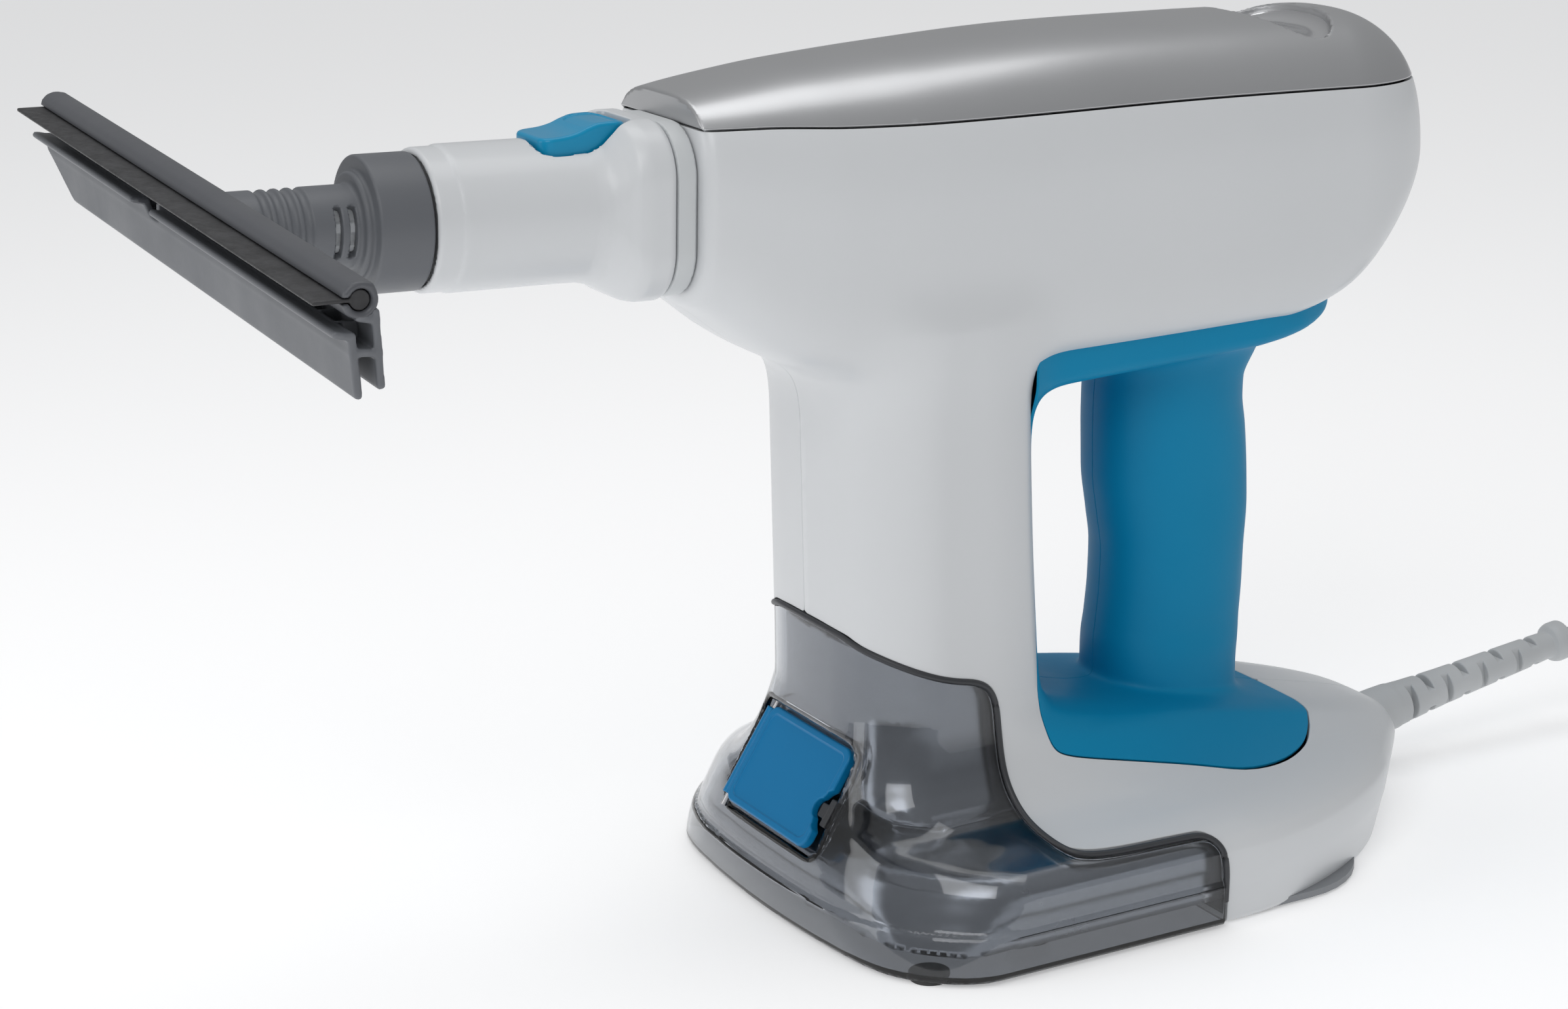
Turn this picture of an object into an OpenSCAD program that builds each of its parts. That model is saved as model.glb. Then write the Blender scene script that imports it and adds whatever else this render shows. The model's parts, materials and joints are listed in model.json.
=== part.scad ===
/* [Body] */
// Length from the nose of the body to its rear
body_rear = 238; // [232:1:242]
// Height of the highest point of the top cover
body_top = 306; // [300:1:310]
// Half width of the body at its widest
body_half = 50; // [48:1:52]
// Wall of the plastic mouldings
wall = 2.6; // [2:0.1:3]

/* [Base and tank] */
// Half width of the base at the floor
base_half = 99; // [96:1:102]
// Radius of the filler hole under the cap
filler_r = 13; // [11:0.5:14]
// Length of the filler cap down the slope
cap_l = 38; // [34:1:40]
// Width of the filler cap
cap_w = 58; // [52:1:60]

/* [Handle] */
// Height of the grip above the saddle, to the flange under the body
grip_top = 189; // [186:1:191]
// Half width of the grip
grip_half = 20; // [18:1:22]

/* [Nozzle] */
// Radius of the adaptor barrel
barrel_r = 24; // [22:0.5:25]
// Upward tilt of the nozzle axis in degrees
nozzle_tilt = 2.5; // [0:0.5:4]
// Length of the squeegee head
head_l = 286; // [240:2:300]
// Roll of the squeegee head about the nozzle axis, in degrees
head_roll = 3; // [0:0.5:5]

/* [Cord] */
// Diameter of the mains cord
cord_d = 7; // [6:0.5:8]

/* [Hidden] */
$fn = 48;
gap = 0.3;
seam_x = -64;
axis_z = 260;
tank_back = 98;
relief_tilt = 8;
relief_from = [237.5, 0, 22];
relief_l = 98;
coil_at = [495, 40];
coil_rows = 4;
coil_outer = 58;
coil_rim = coil_outer + cord_d / 2;
plug_at = [coil_at[0] + coil_outer + 5, 78, 18.8];
cap_at = [-20, 0, 48];
cap_lean = 56;
trigger_pin_at = [159, 0, 168];
intake_x = 50;
intake_z = 26;
intake_r = 2.2;

// Route of the free cord, from the end of the relief to the coil
route = [[335, 0, 36], [345, 0, 37], [355, 0, 37], [365, -1, 35.5], [375, -2, 32.5], [385, -4, 28.5],
    [395, -6, 23.5], [405, -8, 18.5], [415, -10, 14], [425, -12, 10], [435, -14, 7], [445, -15.5, 5],
    [455, -16.7, 4], [465, -17.5, 3.7], [475, -18, 3.7], [485, -18, 3.7]];

// ---- outlines and lofts ----

function arc(cx, cy, r, a0, a1, n = 5) =
    [for (i = [0:n]) let (a = a0 + (a1 - a0) * i / n) [cx + r * cos(a), cy + r * sin(a)]];

// Plan outline: round front corners, sides, slanted tail with a round tip
function plan(xf, hw, xs, xt, tw, rf, rs, ca = 40) = concat(
    arc(xf + rf, -hw + rf, rf, 180, 270),
    arc(xs, -hw + rs, rs, 270, 360 - ca),
    arc(xt - 8, -tw + 8, 8, 360 - ca, 360, 3),
    arc(xt - 8, tw - 8, 8, 0, ca, 3),
    arc(xs, hw - rs, rs, ca, 90),
    arc(xf + rf, hw - rf, rf, 90, 180));

function at_z(z, pts) = [for (p = pts) [p[0], p[1], z]];

// Closed solid through rings that all have the same number of points
module loft(rings) {
    n = len(rings[0]);
    m = len(rings);
    polyhedron(
        points = [for (r = rings) each r],
        faces = concat([[for (i = [0:n - 1]) i]],
            [for (k = [0:m - 2], i = [0:n - 1]) let (j = (i + 1) % n)
                each [[k * n + i, (k + 1) * n + i, (k + 1) * n + j],
                    [k * n + i, (k + 1) * n + j, k * n + j]]],
            [[for (i = [n - 1:-1:0]) (m - 1) * n + i]]),
        convexity = 6);
}

// Height, front, half width, start of the tail, tail tip, tail half width, front and side radii
skirt = [[1, -31.4, base_half - 0.5, 138, 226, 16, 27, 40], [14, -33, base_half + 0.3, 141, 231, 18, 34, 40],
    [24, -32, base_half + 0.4, 143.5, 233.6, 19.5, 42, 40],
    [32, -29.8, base_half - 2.5, 143, 232, 21, 42, 40],
    [36, -28, base_half - 10, 140, 224, 23, 37, 38], [40, -25.8, 75, 134, 211, 27, 31, 36],
    [44, -23.6, 65.8, 125, 195, 31, 27, 32], [49, -21, 59.2, 110, 172, 34, 25, 26],
    [56, -17.8, 54.8, 88, 138, 34, 24, 18], [64, -15.2, 52.4, 66, 92, 34, 23, 13],
    [72, -13.8, 51, 54, 70, 35, 22, 12], [103, -13, 50, 49.5, 64.2, 36, 22, 12],
    [215, -13, 50, 48.5, 61.8, 36, 22, 12]];

// Plan outline of one skirt row, set in by t
function skirt_plan(s, t) =
    plan(s[1] + t, s[2] - t, s[3], s[4] - t, s[5] - t / 2, s[6] - t / 2, s[7] - t / 2);

// Solid floor outline of the base, set in by t
module floor_pan(t, h) {
    linear_extrude(h) polygon(skirt_plan(skirt[0], t));
}

// Base and column as one flared tower, set in by t all round
module tower(t = 0) {
    loft([for (i = [0:len(skirt) - 1]) at_z(skirt[i][0] + (i == 0 ? t : 0), skirt_plan(skirt[i], t))]);
}

// Station along the body: x, half width, bottom, top
hull_rings = [[-66, 33, 228, 293], [-62, 36, 224, 296.5], [-40, 41, 209, 300.5], [-16, 45.5, 200.5, 303],
    [20, 49, 197, 305], [77, 50, 196, 306], [140, 50, 196.5, 305], [190, 48.5, 198, 302.5],
    [212, 46.5, 206, 298], [225, 43, 216, 289], [233, 36, 226, 278], [237, 25, 236, 267],
    [238, 12, 246, 258]];

// Power that keeps the sign
function power(v, e) = sign(v) * pow(abs(v), e);

// Rounded section: flatter below than above
function section(x, w, zb, zt, t, n = 32) = let (zc = (zb + zt) / 2, h = (zt - zb) / 2 - t)
    [for (i = [0:n - 1]) let (a = 360 * i / n, e = sin(a) > 0 ? 2.9 : 4.5)
        [x, (w - t) * power(cos(a), 2 / e), zc + h * power(sin(a), 2 / e)]];

// Upper body, set in by t all round
module upper(t = 0) {
    last = len(hull_rings) - 1;
    sy = body_half / 50;
    sx = body_rear / 238;
    lift = body_top - 306;
    loft([for (i = [0:last])
        let (s = hull_rings[i], x = i == 0 ? s[0] + 2 * t : i == last ? s[0] * sx - t : s[0])
        section(x, s[1] * sy, s[2], s[3] + lift, min(t, s[1] * 0.5))]);
}

// Band in the side view, extruded across the body
module side_cut(pts, y0 = -150, y1 = 150) {
    translate([0, y1, 0]) rotate([90, 0, 0]) linear_extrude(y1 - y0) polygon(pts);
}

// Side views of the parting lines
cover_line = [[-90, 288.5], [-66, 288.5], [-20, 286.5], [60, 284.5], [140, 282.5], [240, 278.5],
    [260, 278.5]];
tank_line = concat([[-60, 108.3], [-14, 107], [-8.8, 102.8], [2.7, 96.8], [19, 91]], arc(27, 82, 8, 90, 5, 4),
    [[35, 66]], arc(53, 52.5, 18, 180, 262, 5), [[78, 34.3]], arc(tank_back - 8, 26, 8, 90, 0, 4));
saddle_top = 195.5;
saddle_line = [[56, saddle_top], [56.4, 150], [57.6, 100], [56.2, 80], [55.6, 68], [58.2, 59], [63, 56.4],
    [74, 53.4], [91, 49.6], [113, 45], [130, 41.6], [146, 40.4], [160, 40.6], [170, 41.8],
    [178, 44.6], [184, 50], [188, 60]];

module tank_side(d = 0) {
    raised = [for (p = tank_line) [p[0] + (p[0] > 20 ? d : 0), p[1] + d]];
    side_cut(concat([[-60, -5]], raised, [[tank_back + d, -5]]));
}

module saddle_side(d = 0) {
    lowered = [for (p = saddle_line) [p[0] - (p[1] > 50 ? 1.5 * d : 0), p[1] < saddle_top ? p[1] - d : p[1] + d]];
    side_cut(concat(lowered, [[230, 70], [230, saddle_top + d]]));
}

module cover_side(d = 0) {
    side_cut(concat([for (p = cover_line) [p[0], p[1] - d]], [[260, 330], [-90, 330]]));
}

// ---- frames ----

// Nozzle frame: local z runs forward along the nozzle axis, local x is up
module nozzle_frame() {
    translate([seam_x, 0, axis_z]) rotate([0, -90 + nozzle_tilt, 0]) children();
}

// Squeegee frame: the nozzle frame with the head's roll
module head_frame() {
    nozzle_frame() rotate([0, 0, -head_roll]) children();
}

// Cap frame: local z is the outward normal of the slope, local x runs up it
module cap_frame() {
    translate(cap_at) rotate([0, -cap_lean, 0]) children();
}

// Cylinder along the hinge of the cap, centred on it, in the cap frame
module hinge_line(length, r) {
    translate([0, cap_w / 2 + 2, -1]) rotate([0, 90, 0]) cylinder(h = length, r = r, center = true);
}

module cap_hinge(length, r) {
    cap_frame() hinge_line(length, r);
}

// Relief frame: local z runs along the strain relief
module relief_frame() {
    translate(relief_from) rotate([0, 90 - relief_tilt, 0]) children();
}

// ---- small helpers ----

function unit(v) = v / norm(v);
function along(p, i) = unit(p[min(i + 1, len(p) - 1)] - p[max(i - 1, 0)]);

// Round tube swept through the points p; side is any direction no run is parallel to
module sweep(p, r, n = 10, side = [0, 0, 1]) {
    loft([for (i = [0:len(p) - 1]) let (t = along(p, i), s = unit(cross(side, t)), u = cross(t, s))
        [for (k = [0:n - 1]) let (a = -360 * k / n) p[i] + r * (cos(a) * s + sin(a) * u)]]);
}

// Route with each corner cut by a bend that starts c before it
function bends(p, c) = [for (i = [0:len(p) - 1]) each i == 0 || i == len(p) - 1 ? [p[i]] :
    let (a = p[i] + c * unit(p[i - 1] - p[i]), b = p[i] + c * unit(p[i + 1] - p[i]))
        [for (u = [0:0.25:1]) (1 - u) * (1 - u) * a + 2 * u * (1 - u) * p[i] + u * u * b]];

module box(lo, hi) {
    translate(lo) cube(hi - lo);
}

// Square with round corners, extruded along z
module round_square(half, r, h) {
    linear_extrude(h) {
        square([2 * half, 2 * (half - r)], center = true);
        square([2 * (half - r), 2 * half], center = true);
        for (x = [-1, 1], y = [-1, 1]) translate([x * (half - r), y * (half - r)]) circle(r = r);
    }
}

// Compression spring drawn as separate rings along z
module rings(r, wire, turns, length) {
    for (i = [0:turns - 1]) translate([0, 0, length * (i + 0.5) / turns])
        rotate_extrude($fn = 24) translate([r, 0]) circle(r = wire, $fn = 16);
}

// ---- housings ----

// Side-view place of each screw and the reach of its posts to the wall
screw_spots = [[-36, 232, 40.3], [112, 214, 45.8], [206, 252, 45.8], [22, 128, 48.7], [22, 178, 48.7]];

module screw_posts(side) {
    for (p = screw_spots) translate([p[0], side * 0.15, p[1]]) rotate([side < 0 ? 90 : -90, 0, 0])
        cylinder(h = p[2], r = 4.6);
}

// Screws enter from the far side: clearance and head well there, blind hole in the near half
module screw_holes() {
    for (p = screw_spots) translate([p[0], 60, p[1]]) rotate([90, 0, 0]) {
        cylinder(h = 40, r = 3.4);
        cylinder(h = 81, r = 1.6);
    }
}

// Ribs inside the base that tie the column to the rear of the base
module base_ribs(side) {
    mirror([0, side < 0 ? 1 : 0, 0]) {
        side_cut([[42, 45], [42, 70], [56, 70], [64, 62], [100, 50], [162, 41], [162, 34], [98, 34],
            [62, 45]], 36, 38.5);
        box([42, 36, 60], [45, 48.7, 120]);
        box([159, 36, 4], [162, base_half - 33, 36]);
    }
}

module housing(side) {
    color("white") difference() {
        union() {
            difference() {
                union() {
                    upper();
                    tower();
                }
                upper(wall);
                tower(wall);
                saddle_side(gap);
            }
            screw_posts(side);
            base_ribs(side);
        }
        box([-100, side < 0 ? -0.15 : -120, -1], [300, side < 0 ? 120 : 0.15, 330]);
        cover_side(gap);
        tank_side(gap);
        nozzle_frame() translate([0, 0, -12]) cylinder(h = 20, r = 15);
        nozzle_frame() translate([-60, -60, 0]) cube([120, 120, 20]);
        floor_pan(wall, 3.8);
        screw_holes();
        relief_frame() translate([0, 0, -14]) cylinder(h = 20, r = 8.2);
    }
}

module housing_near() {
    housing(-1);
}

module housing_far() {
    housing(1);
}

// Oval thumb recess across the top, grown by t
module recess_pocket(t = 0) {
    translate([181.5, 0, 296.5 - t]) scale([(17 + t) / 32, 1, 1]) cylinder(h = 30, r = 31.5 + t);
}

module top_cover() {
    color("silver") difference() {
        intersection() {
            upper();
            cover_side();
        }
        difference() {
            upper(wall);
            recess_pocket(1.6);
        }
        recess_pocket();
        nozzle_frame() translate([-60, -60, 0.2]) cube([120, 120, 20]);
    }
}

module thumb_recess() {
    color("lightgray") difference() {
        intersection() {
            recess_pocket();
            upper(0.6);
        }
        recess_pocket(-1.2);
        box([150, -40, 300], [240, 40, 330]);
    }
}

// ---- handle ----

// Height, front, rear and half width of the grip
grip_rings = [[62, 88, 176, 27], [68, 100, 169, 23.5], [76, 108, 165, 21], [84, 112, 163.5, 20],
    [97, 114, 165, 20], [111, 115, 166.5, 20], [124, 113, 167.5, 20], [141, 111, 167.3, 20.5],
    [155, 111, 166.4, 20.5], [168, 112, 165, 20], [178, 112, 166, 20.5], [184, 109, 172, 22],
    [grip_top, 103, 181, 25]];

function oval(x0, x1, hw, n = 28) = let (cx = (x0 + x1) / 2, rx = (x1 - x0) / 2)
    [for (i = [0:n - 1]) let (a = 360 * i / n)
        [cx + rx * power(cos(a), 0.86), hw * power(sin(a), 0.86)]];

module grip_core(t = 0) {
    loft([for (g = grip_rings) at_z(g[0], oval(g[1] + t, g[2] - t, g[3] * grip_half / 20 - t))]);
}

module flange() {
    intersection() {
        translate([0, 0, 176]) linear_extrude(saddle_top - 176) polygon(plan(61, 41.5, 150, 192, 22, 10, 42));
        side_cut([[61, saddle_top], [192, saddle_top], [176, 192.2], [150, 189], [110, 187.5], [80, 186.5],
            [70, 184], [64.5, 176], [61, 176]]);
    }
}

// Bore across the handle for the trigger pin, blind in both halves
module pin_bore(r, reach) {
    translate(trigger_pin_at) rotate([90, 0, 0]) cylinder(h = 2 * reach, r = r, center = true);
}

module grip_half_shell(side) {
    color([0, 0.42, 0.56]) {
        difference() {
            union() {
                intersection() {
                    difference() {
                        tower();
                        tower(wall);
                    }
                    saddle_side();
                }
                flange();
                grip_core();
            }
            grip_core(3);
            box([-100, side < 0 ? -0.1 : -120, -1], [300, side < 0 ? 120 : 0.1, 330]);
            trigger_slot(0.45);
            pin_bore(1.5, 13.4);
        }
        // Rest for the fixed leg of the trigger spring
        mirror([0, side < 0 ? 1 : 0, 0]) box([145, 0.1, 171.6], [149, 16, 190]);
    }
}

module grip_near() {
    grip_half_shell(-1);
}

module grip_far() {
    grip_half_shell(1);
}

module trigger_slot(c = 0) {
    box([c > 0 ? 150 : 155.5, -11 - c, 80 - c], [175, 11 + c, 174 + c]);
}

module steam_trigger() {
    color([0, 0.38, 0.52]) difference() {
        intersection() {
            grip_core(0.1);
            trigger_slot();
        }
        pin_bore(1.55, 30);
        box([150, -3.6, 157.2], [163.2, 3.6, 172.4]);
    }
}

module trigger_pin() {
    color("gray") pin_bore(1.5, 13.2);
}

// Torsion spring round the trigger pin: one leg down behind the face, one forward under the rest
module trigger_spring() {
    r = 3;
    turns = 3.25;
    half = 2.4;
    coil = [for (a = [0:30:360 * turns])
        trigger_pin_at + [r * cos(a), half - 2 * half * a / (360 * turns), r * sin(a)]];
    foot = trigger_pin_at + [r, half, -9.5];
    nose = trigger_pin_at + [-13, -half, r];
    color("gray") sweep(concat([foot], coil, [nose]), 0.5, 6, [0, 1, 0]);
}

module trigger_switch() {
    color("dimgray") {
        box([130, -4, 112], [149, 4, 134]);
        box([149, -2, 116], [152.6, 2, 120]);
    }
}

// ---- base ----

feet = [[-12, 82], [-12, -82], [160, 58], [160, -58]];

module base_plate() {
    color("dimgray") difference() {
        intersection() {
            floor_pan(wall + 0.3, 3.4);
            box([tank_back + 2.5, -150, 1], [300, 150, 10]);
        }
        for (p = feet) translate([p[0], p[1], 0]) cylinder(h = 1.8, r = 7.2);
        relief_frame() translate([0, 0, -14]) cylinder(h = 20, r = 8.2);
    }
}

module rubber_feet() {
    color("black") for (p = feet) translate([p[0], p[1], 0]) cylinder(h = 1.8, r = 7);
}

module housing_screws() {
    color("gray") for (p = screw_spots) translate([p[0], 20, p[1]]) rotate([90, 0, 0]) {
        cylinder(h = 40, r = 1.55);
        translate([0, 0, -2.2]) cylinder(h = 2.2, r = 3);
    }
}

// Room for the pump and the column inside the U of the tank
module core_block(t = 0) {
    box([34 - t, -62 - t, -1], [140, 62 + t, 140]);
}

module water_tank() {
    color([0.35, 0.37, 0.4, 0.6]) difference() {
        union() {
            difference() {
                intersection() {
                    tower();
                    tank_side(-2);
                }
                difference() {
                    intersection() {
                        tower(wall);
                        tank_side(-2 - wall);
                    }
                    core_block(wall);
                }
            }
            intersection() {
                tower(0.2);
                cap_frame() box([-cap_l / 2 - 5, -cap_w / 2 - 6, -8], [cap_l / 2 + 5, cap_w / 2 + 8, 6]);
            }
        }
        core_block();
        cap_frame() box([-cap_l / 2 - 1.5, -cap_w / 2 - 3, -5], [cap_l / 2 + 1.5, cap_w / 2 + 6, 12]);
        cap_frame() translate([0, 0, -10]) cylinder(h = 8, r = filler_r);
        cap_hinge(cap_l + 8, 1.2);
        for (p = feet) translate([p[0], p[1], 0]) cylinder(h = 1.8, r = 7.2);
        translate([intake_x, -60, intake_z]) rotate([90, 0, 0]) cylinder(h = 6, r = intake_r + 0.1);
    }
}

module tank_gasket() {
    color("black") difference() {
        intersection() {
            tower(-0.3);
            tank_side(-0.3);
        }
        tank_side(-1.8);
        tower(2.2);
        box([-60, -150, -1], [150, 150, 6]);
    }
}

module filler_cap() {
    color([0, 0.38, 0.55]) cap_frame() difference() {
        union() {
            box([-cap_l / 2, -cap_w / 2, -2.6], [cap_l / 2, cap_w / 2, 0.8]);
            hinge_line(cap_l - 2, 2.8);
        }
        hinge_line(cap_l + 8, 1.25);
        translate([-4, -cap_w / 2 - 2, -5]) cylinder(h = 10, r = 8);
    }
}

module cap_seal() {
    color("dimgray") cap_frame() translate([0, 0, -6.4]) difference() {
        cylinder(h = 3.8, r = filler_r - 1);
        translate([0, 0, -1]) cylinder(h = 4, r = filler_r - 3.5);
    }
}

module cap_pin() {
    color("gray") cap_hinge(cap_l + 6, 1.2);
}

module cap_latch() {
    color("dimgray") cap_frame() {
        box([-8, -cap_w / 2 - 3, -5], [0, -cap_w / 2 - 0.6, -0.5]);
        box([-6.5, -cap_w / 2 - 0.6, -1.8], [-1.5, -cap_w / 2 + 2.5, -0.5]);
    }
}

// ---- water and steam path ----

module intake_filter() {
    color("dimgray") translate([30, -78, 3.8]) {
        cylinder(h = 7, r = 7);
        translate([0, 0, 7]) cylinder(h = 3, r = 3.2);
    }
}

module intake_tube() {
    color([0.85, 0.85, 0.85]) sweep(bends([[30, -78, 14], [30, -78, intake_z], [intake_x, -78, intake_z],
        [intake_x, -14, intake_z], [72, -3, 30], [88.9, -3, 30]], 5), intake_r, 10, [1, 0.9, 0.35]);
}

module pump() {
    color("dimgray") translate([89, 0, 30]) rotate([0, 90, 0]) {
        cylinder(h = 12, r = 6);
        translate([0, 0, 12]) cylinder(h = 52, r = 13);
        translate([-17, -17, 22]) cube([34, 34, 32]);
    }
}

module pump_mounts() {
    color("black") for (x = [103, 147]) translate([x, 0, 30]) rotate([0, 90, 0]) difference() {
        cylinder(h = 4, r = 19);
        translate([0, 0, -1]) cylinder(h = 6, r = 13);
        translate([19.2, -20, -1]) cube([10, 40, 8]);
    }
}

module feed_hose() {
    color([0.85, 0.85, 0.85])
        sweep(bends([[88.9, 3, 30], [68, 3, 30], [44, 0, 56], [44, 0, 214]], 10), 2.4, 10, [0, 1, 0]);
}

module boiler() {
    color("silver") {
        translate([-4, 0, 245]) rotate([0, 90, 0]) cylinder(h = 100, r = 26);
        for (x = [6:14:90]) translate([x, 0, 245]) rotate([0, 90, 0]) cylinder(h = 4, r = 28);
        translate([44, 0, 214.2]) cylinder(h = 8, r = 5);
    }
}

module boiler_straps() {
    color("gray") for (x = [14, 70]) translate([x, 0, 245]) rotate([0, 90, 0]) difference() {
        cylinder(h = 6, r = 29.6);
        translate([0, 0, -1]) cylinder(h = 8, r = 28.2);
    }
}

module thermostat() {
    color("tan") translate([37, 0, 273]) {
        cylinder(h = 5, r = 8);
        box([-11, -4, 0], [11, 4, 1]);
    }
}

module thermal_fuse() {
    color("tan") translate([51, 0, 275.4]) rotate([0, 90, 0]) cylinder(h = 12, r = 2);
}

module steam_pipe() {
    color("gray")
        sweep(bends([[-45.8, 0, 260.5], [-30, 0, 259.5], [-16, 0, 245], [-4.2, 0, 245]], 7),
            3, 10, [0, 1, 0]);
}

module outlet_spigot() {
    color("goldenrod") nozzle_frame() difference() {
        union() {
            translate([0, 0, -18]) cylinder(h = 38, r = 8);
            translate([0, 0, -7.4]) cylinder(h = 3, r = 18);
        }
        translate([0, 0, -14]) cylinder(h = 40, r = 3);
        translate([0, 0, 13]) rotate_extrude() translate([6, -1.05]) square([3, 2.1]);
    }
}

module outlet_oring() {
    color("black") nozzle_frame() translate([0, 0, 13]) rotate_extrude() translate([7.05, 0]) circle(r = 1);
}

module control_board() {
    color("darkgreen") {
        box([128, -24, 232], [192, 24, 233.6]);
        box([134, -14, 233.6], [158, 8, 249]);
        box([166, -6, 233.6], [178, 10, 244]);
    }
}

module terminal_block() {
    color("ivory") box([176, -12, 3.8], [198, 12, 16]);
}

module wire_loom() {
    color("black") sweep(bends([[186, 0, 16.3], [186, 0, 26], [176, 24, 38], [50, 20, 52], [50, 20, 206],
        [64, 33, 222], [104, 33, 223], [134, 16, 223], [134, 16, 231.9]], 4), 2.4, 10, [0.5, 1, 0.2]);
}

// ---- adaptor ----

button_hinge = [18, 45];

module button_room(c) {
    translate([14.5, -12 - c, 17 - c]) cube([20, 24 + 2 * c, 31 + 2 * c]);
}

module adaptor_shell() {
    color("white") nozzle_frame() difference() {
        union() {
            translate([0, 0, 7.2]) round_square(30, 19, 12.8);
            translate([0, 0, 20]) cylinder(h = 9, r1 = 29.5, r2 = barrel_r);
            translate([0, 0, 20]) cylinder(h = 60, r = barrel_r);
            translate([0, 0, 80]) cylinder(h = 8, r1 = barrel_r, r2 = barrel_r - 1);
        }
        translate([0, 0, 7]) cylinder(h = 82, r = barrel_r - wall);
        button_room(0.5);
        translate([button_hinge[0], 16, button_hinge[1]]) rotate([90, 0, 0]) cylinder(h = 32, r = 1.2);
    }
}

module adaptor_collar() {
    color("gainsboro") nozzle_frame() translate([0, 0, 0.5]) difference() {
        round_square(29, 18, 6.7);
        translate([0, 0, -1]) cylinder(h = 9, r = 20);
    }
}

module adaptor_core() {
    color("dimgray") nozzle_frame() difference() {
        union() {
            translate([0, 0, 1.2]) cylinder(h = 26, r = 11);
            translate([0, 0, 20]) cylinder(h = 100, r = 6);
            translate([0, 0, 1.2]) cylinder(h = 4, r = 20);
            translate([0, 0, 66]) cylinder(h = 4, r = barrel_r - wall);
        }
        translate([0, 0, -1]) cylinder(h = 25, r = 8.1);
        translate([0, 0, 10]) cylinder(h = 120, r = 4);
    }
}

module release_button() {
    color([0, 0.45, 0.6]) nozzle_frame() difference() {
        translate([0, 11.8, 0]) rotate([90, 0, 0]) linear_extrude(23.6) {
            polygon([[20.4, 17.4], [29.2, 17.4], [29.8, 20], [29.6, 27], [28.2, 31], [26.2, 35], [25.6, 40],
                [25.2, 46.4], [23.8, 47.2], [20.4, 47.4]]);
            translate([18, 45]) circle(r = 2.6);
            translate([18, 42.6]) square([3, 4.8]);
        }
        translate([button_hinge[0], 16, button_hinge[1]]) rotate([90, 0, 0]) cylinder(h = 32, r = 1.25);
    }
}

module button_pin() {
    color("gray") nozzle_frame() translate([button_hinge[0], 14.5, button_hinge[1]]) rotate([90, 0, 0])
        cylinder(h = 29, r = 1.2);
}

module button_spring() {
    color("gray") nozzle_frame() translate([11.2, 0, 22.5]) rotate([0, 90, 0]) rings(2.6, 0.4, 5, 9);
}

// ---- squeegee ----

module neck_windows() {
    for (z = [112.5, 117.5], s = [-1, 1]) translate([0, 0, z]) rotate([0, 0, s * 90 - 38])
        rotate_extrude(angle = 76) translate([8, 0]) square([8, 2.4]);
}

module nozzle_cup() {
    color("dimgray") head_frame() difference() {
        union() {
            translate([0, 0, 88.6]) cylinder(h = 18, r = 22.4);
            translate([0, 0, 106.6]) cylinder(h = 1.6, r1 = 22.4, r2 = 20.8);
            translate([0, 0, 108.2]) cylinder(h = 2.6, r1 = 16.5, r2 = 14);
            translate([0, 0, 108]) cylinder(h = 39.9, r = 13);
        }
        translate([0, 0, 87]) cylinder(h = 19, r = 19.6);
        translate([0, 0, 100]) cylinder(h = 60, r = 10.2);
        neck_windows();
        for (z = [126:4.2:139]) translate([0, 0, z]) difference() {
            cylinder(h = 2, r = 15);
            translate([0, 0, -1]) cylinder(h = 4, r = 11.6);
        }
    }
}

module neck_insert() {
    color("whitesmoke") head_frame() difference() {
        union() {
            translate([0, 0, 106.2]) cylinder(h = 38, r = 10.2);
            for (a = [60, 105, 255, 290]) rotate([0, 0, a]) translate([9.6, 0, 113.7]) rotate([0, 90, 0])
                cylinder(h = 2, r = 1.1);
        }
        translate([0, 0, 105]) cylinder(h = 40, r = 6.06);
    }
}

// Section of the head: local x is up, local z is forward
bead = [14.4, 159];

module head_section() {
    difference() {
        union() {
            translate([bead[0], bead[1]]) circle(r = 5.4);
            polygon([[-13.4, 160], [-12.4, 163.2], [2, 164.2], [2, 160.9], [8.6, 161.4], [8.6, 158],
                [-13.4, 158.4]]);
            polygon([[-12.2, 152.2], [-13.2, 154], [-12.8, 155], [8.6, 156], [12, 156], [12, 153.6],
                [0, 152.4]]);
            polygon([[7, 154], [10.6, 153.6], [10.6, 164.4], [7.2, 164]]);
            polygon([[-2.6, 154], [0.4, 154], [0.4, 161], [-2.6, 161]]);
            polygon([[8.6, 160], [11.4, 160], [13.2, 172.5], [12.2, 173.4], [9.4, 168], [7.4, 164.5]]);
            polygon([[19.6, 157.5], [18.6, 166], [16.2, 171.6], [14.9, 171.2], [15.8, 165], [15.2, 158]]);
        }
        translate([bead[0], bead[1]]) circle(r = 3.15);
        polygon([[13.4, 159], [15.4, 159], [15.4, 180], [13.9, 180]]);
    }
}

module squeegee_head() {
    color("dimgray") head_frame() {
        difference() {
            translate([0, head_l / 2, 0]) rotate([90, 0, 0]) linear_extrude(head_l) head_section();
            translate([0, head_l / 2 + 1, 0]) rotate([90, 0, 0]) linear_extrude(30)
                polygon([[-20, 150], [-13, 180], [-2, 180], [-2, 150]]);
            translate([-2, 20, 164]) rotate([0, 90, 0]) cylinder(h = 6, r = 9, center = true);
            translate([0, 0, 150]) cylinder(h = 7, r = 9.8);
        }
        difference() {
            translate([0, 0, 148]) cylinder(h = 6, r = 13);
            translate([0, 0, 147]) cylinder(h = 20, r = 10.2);
        }
    }
}

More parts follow.
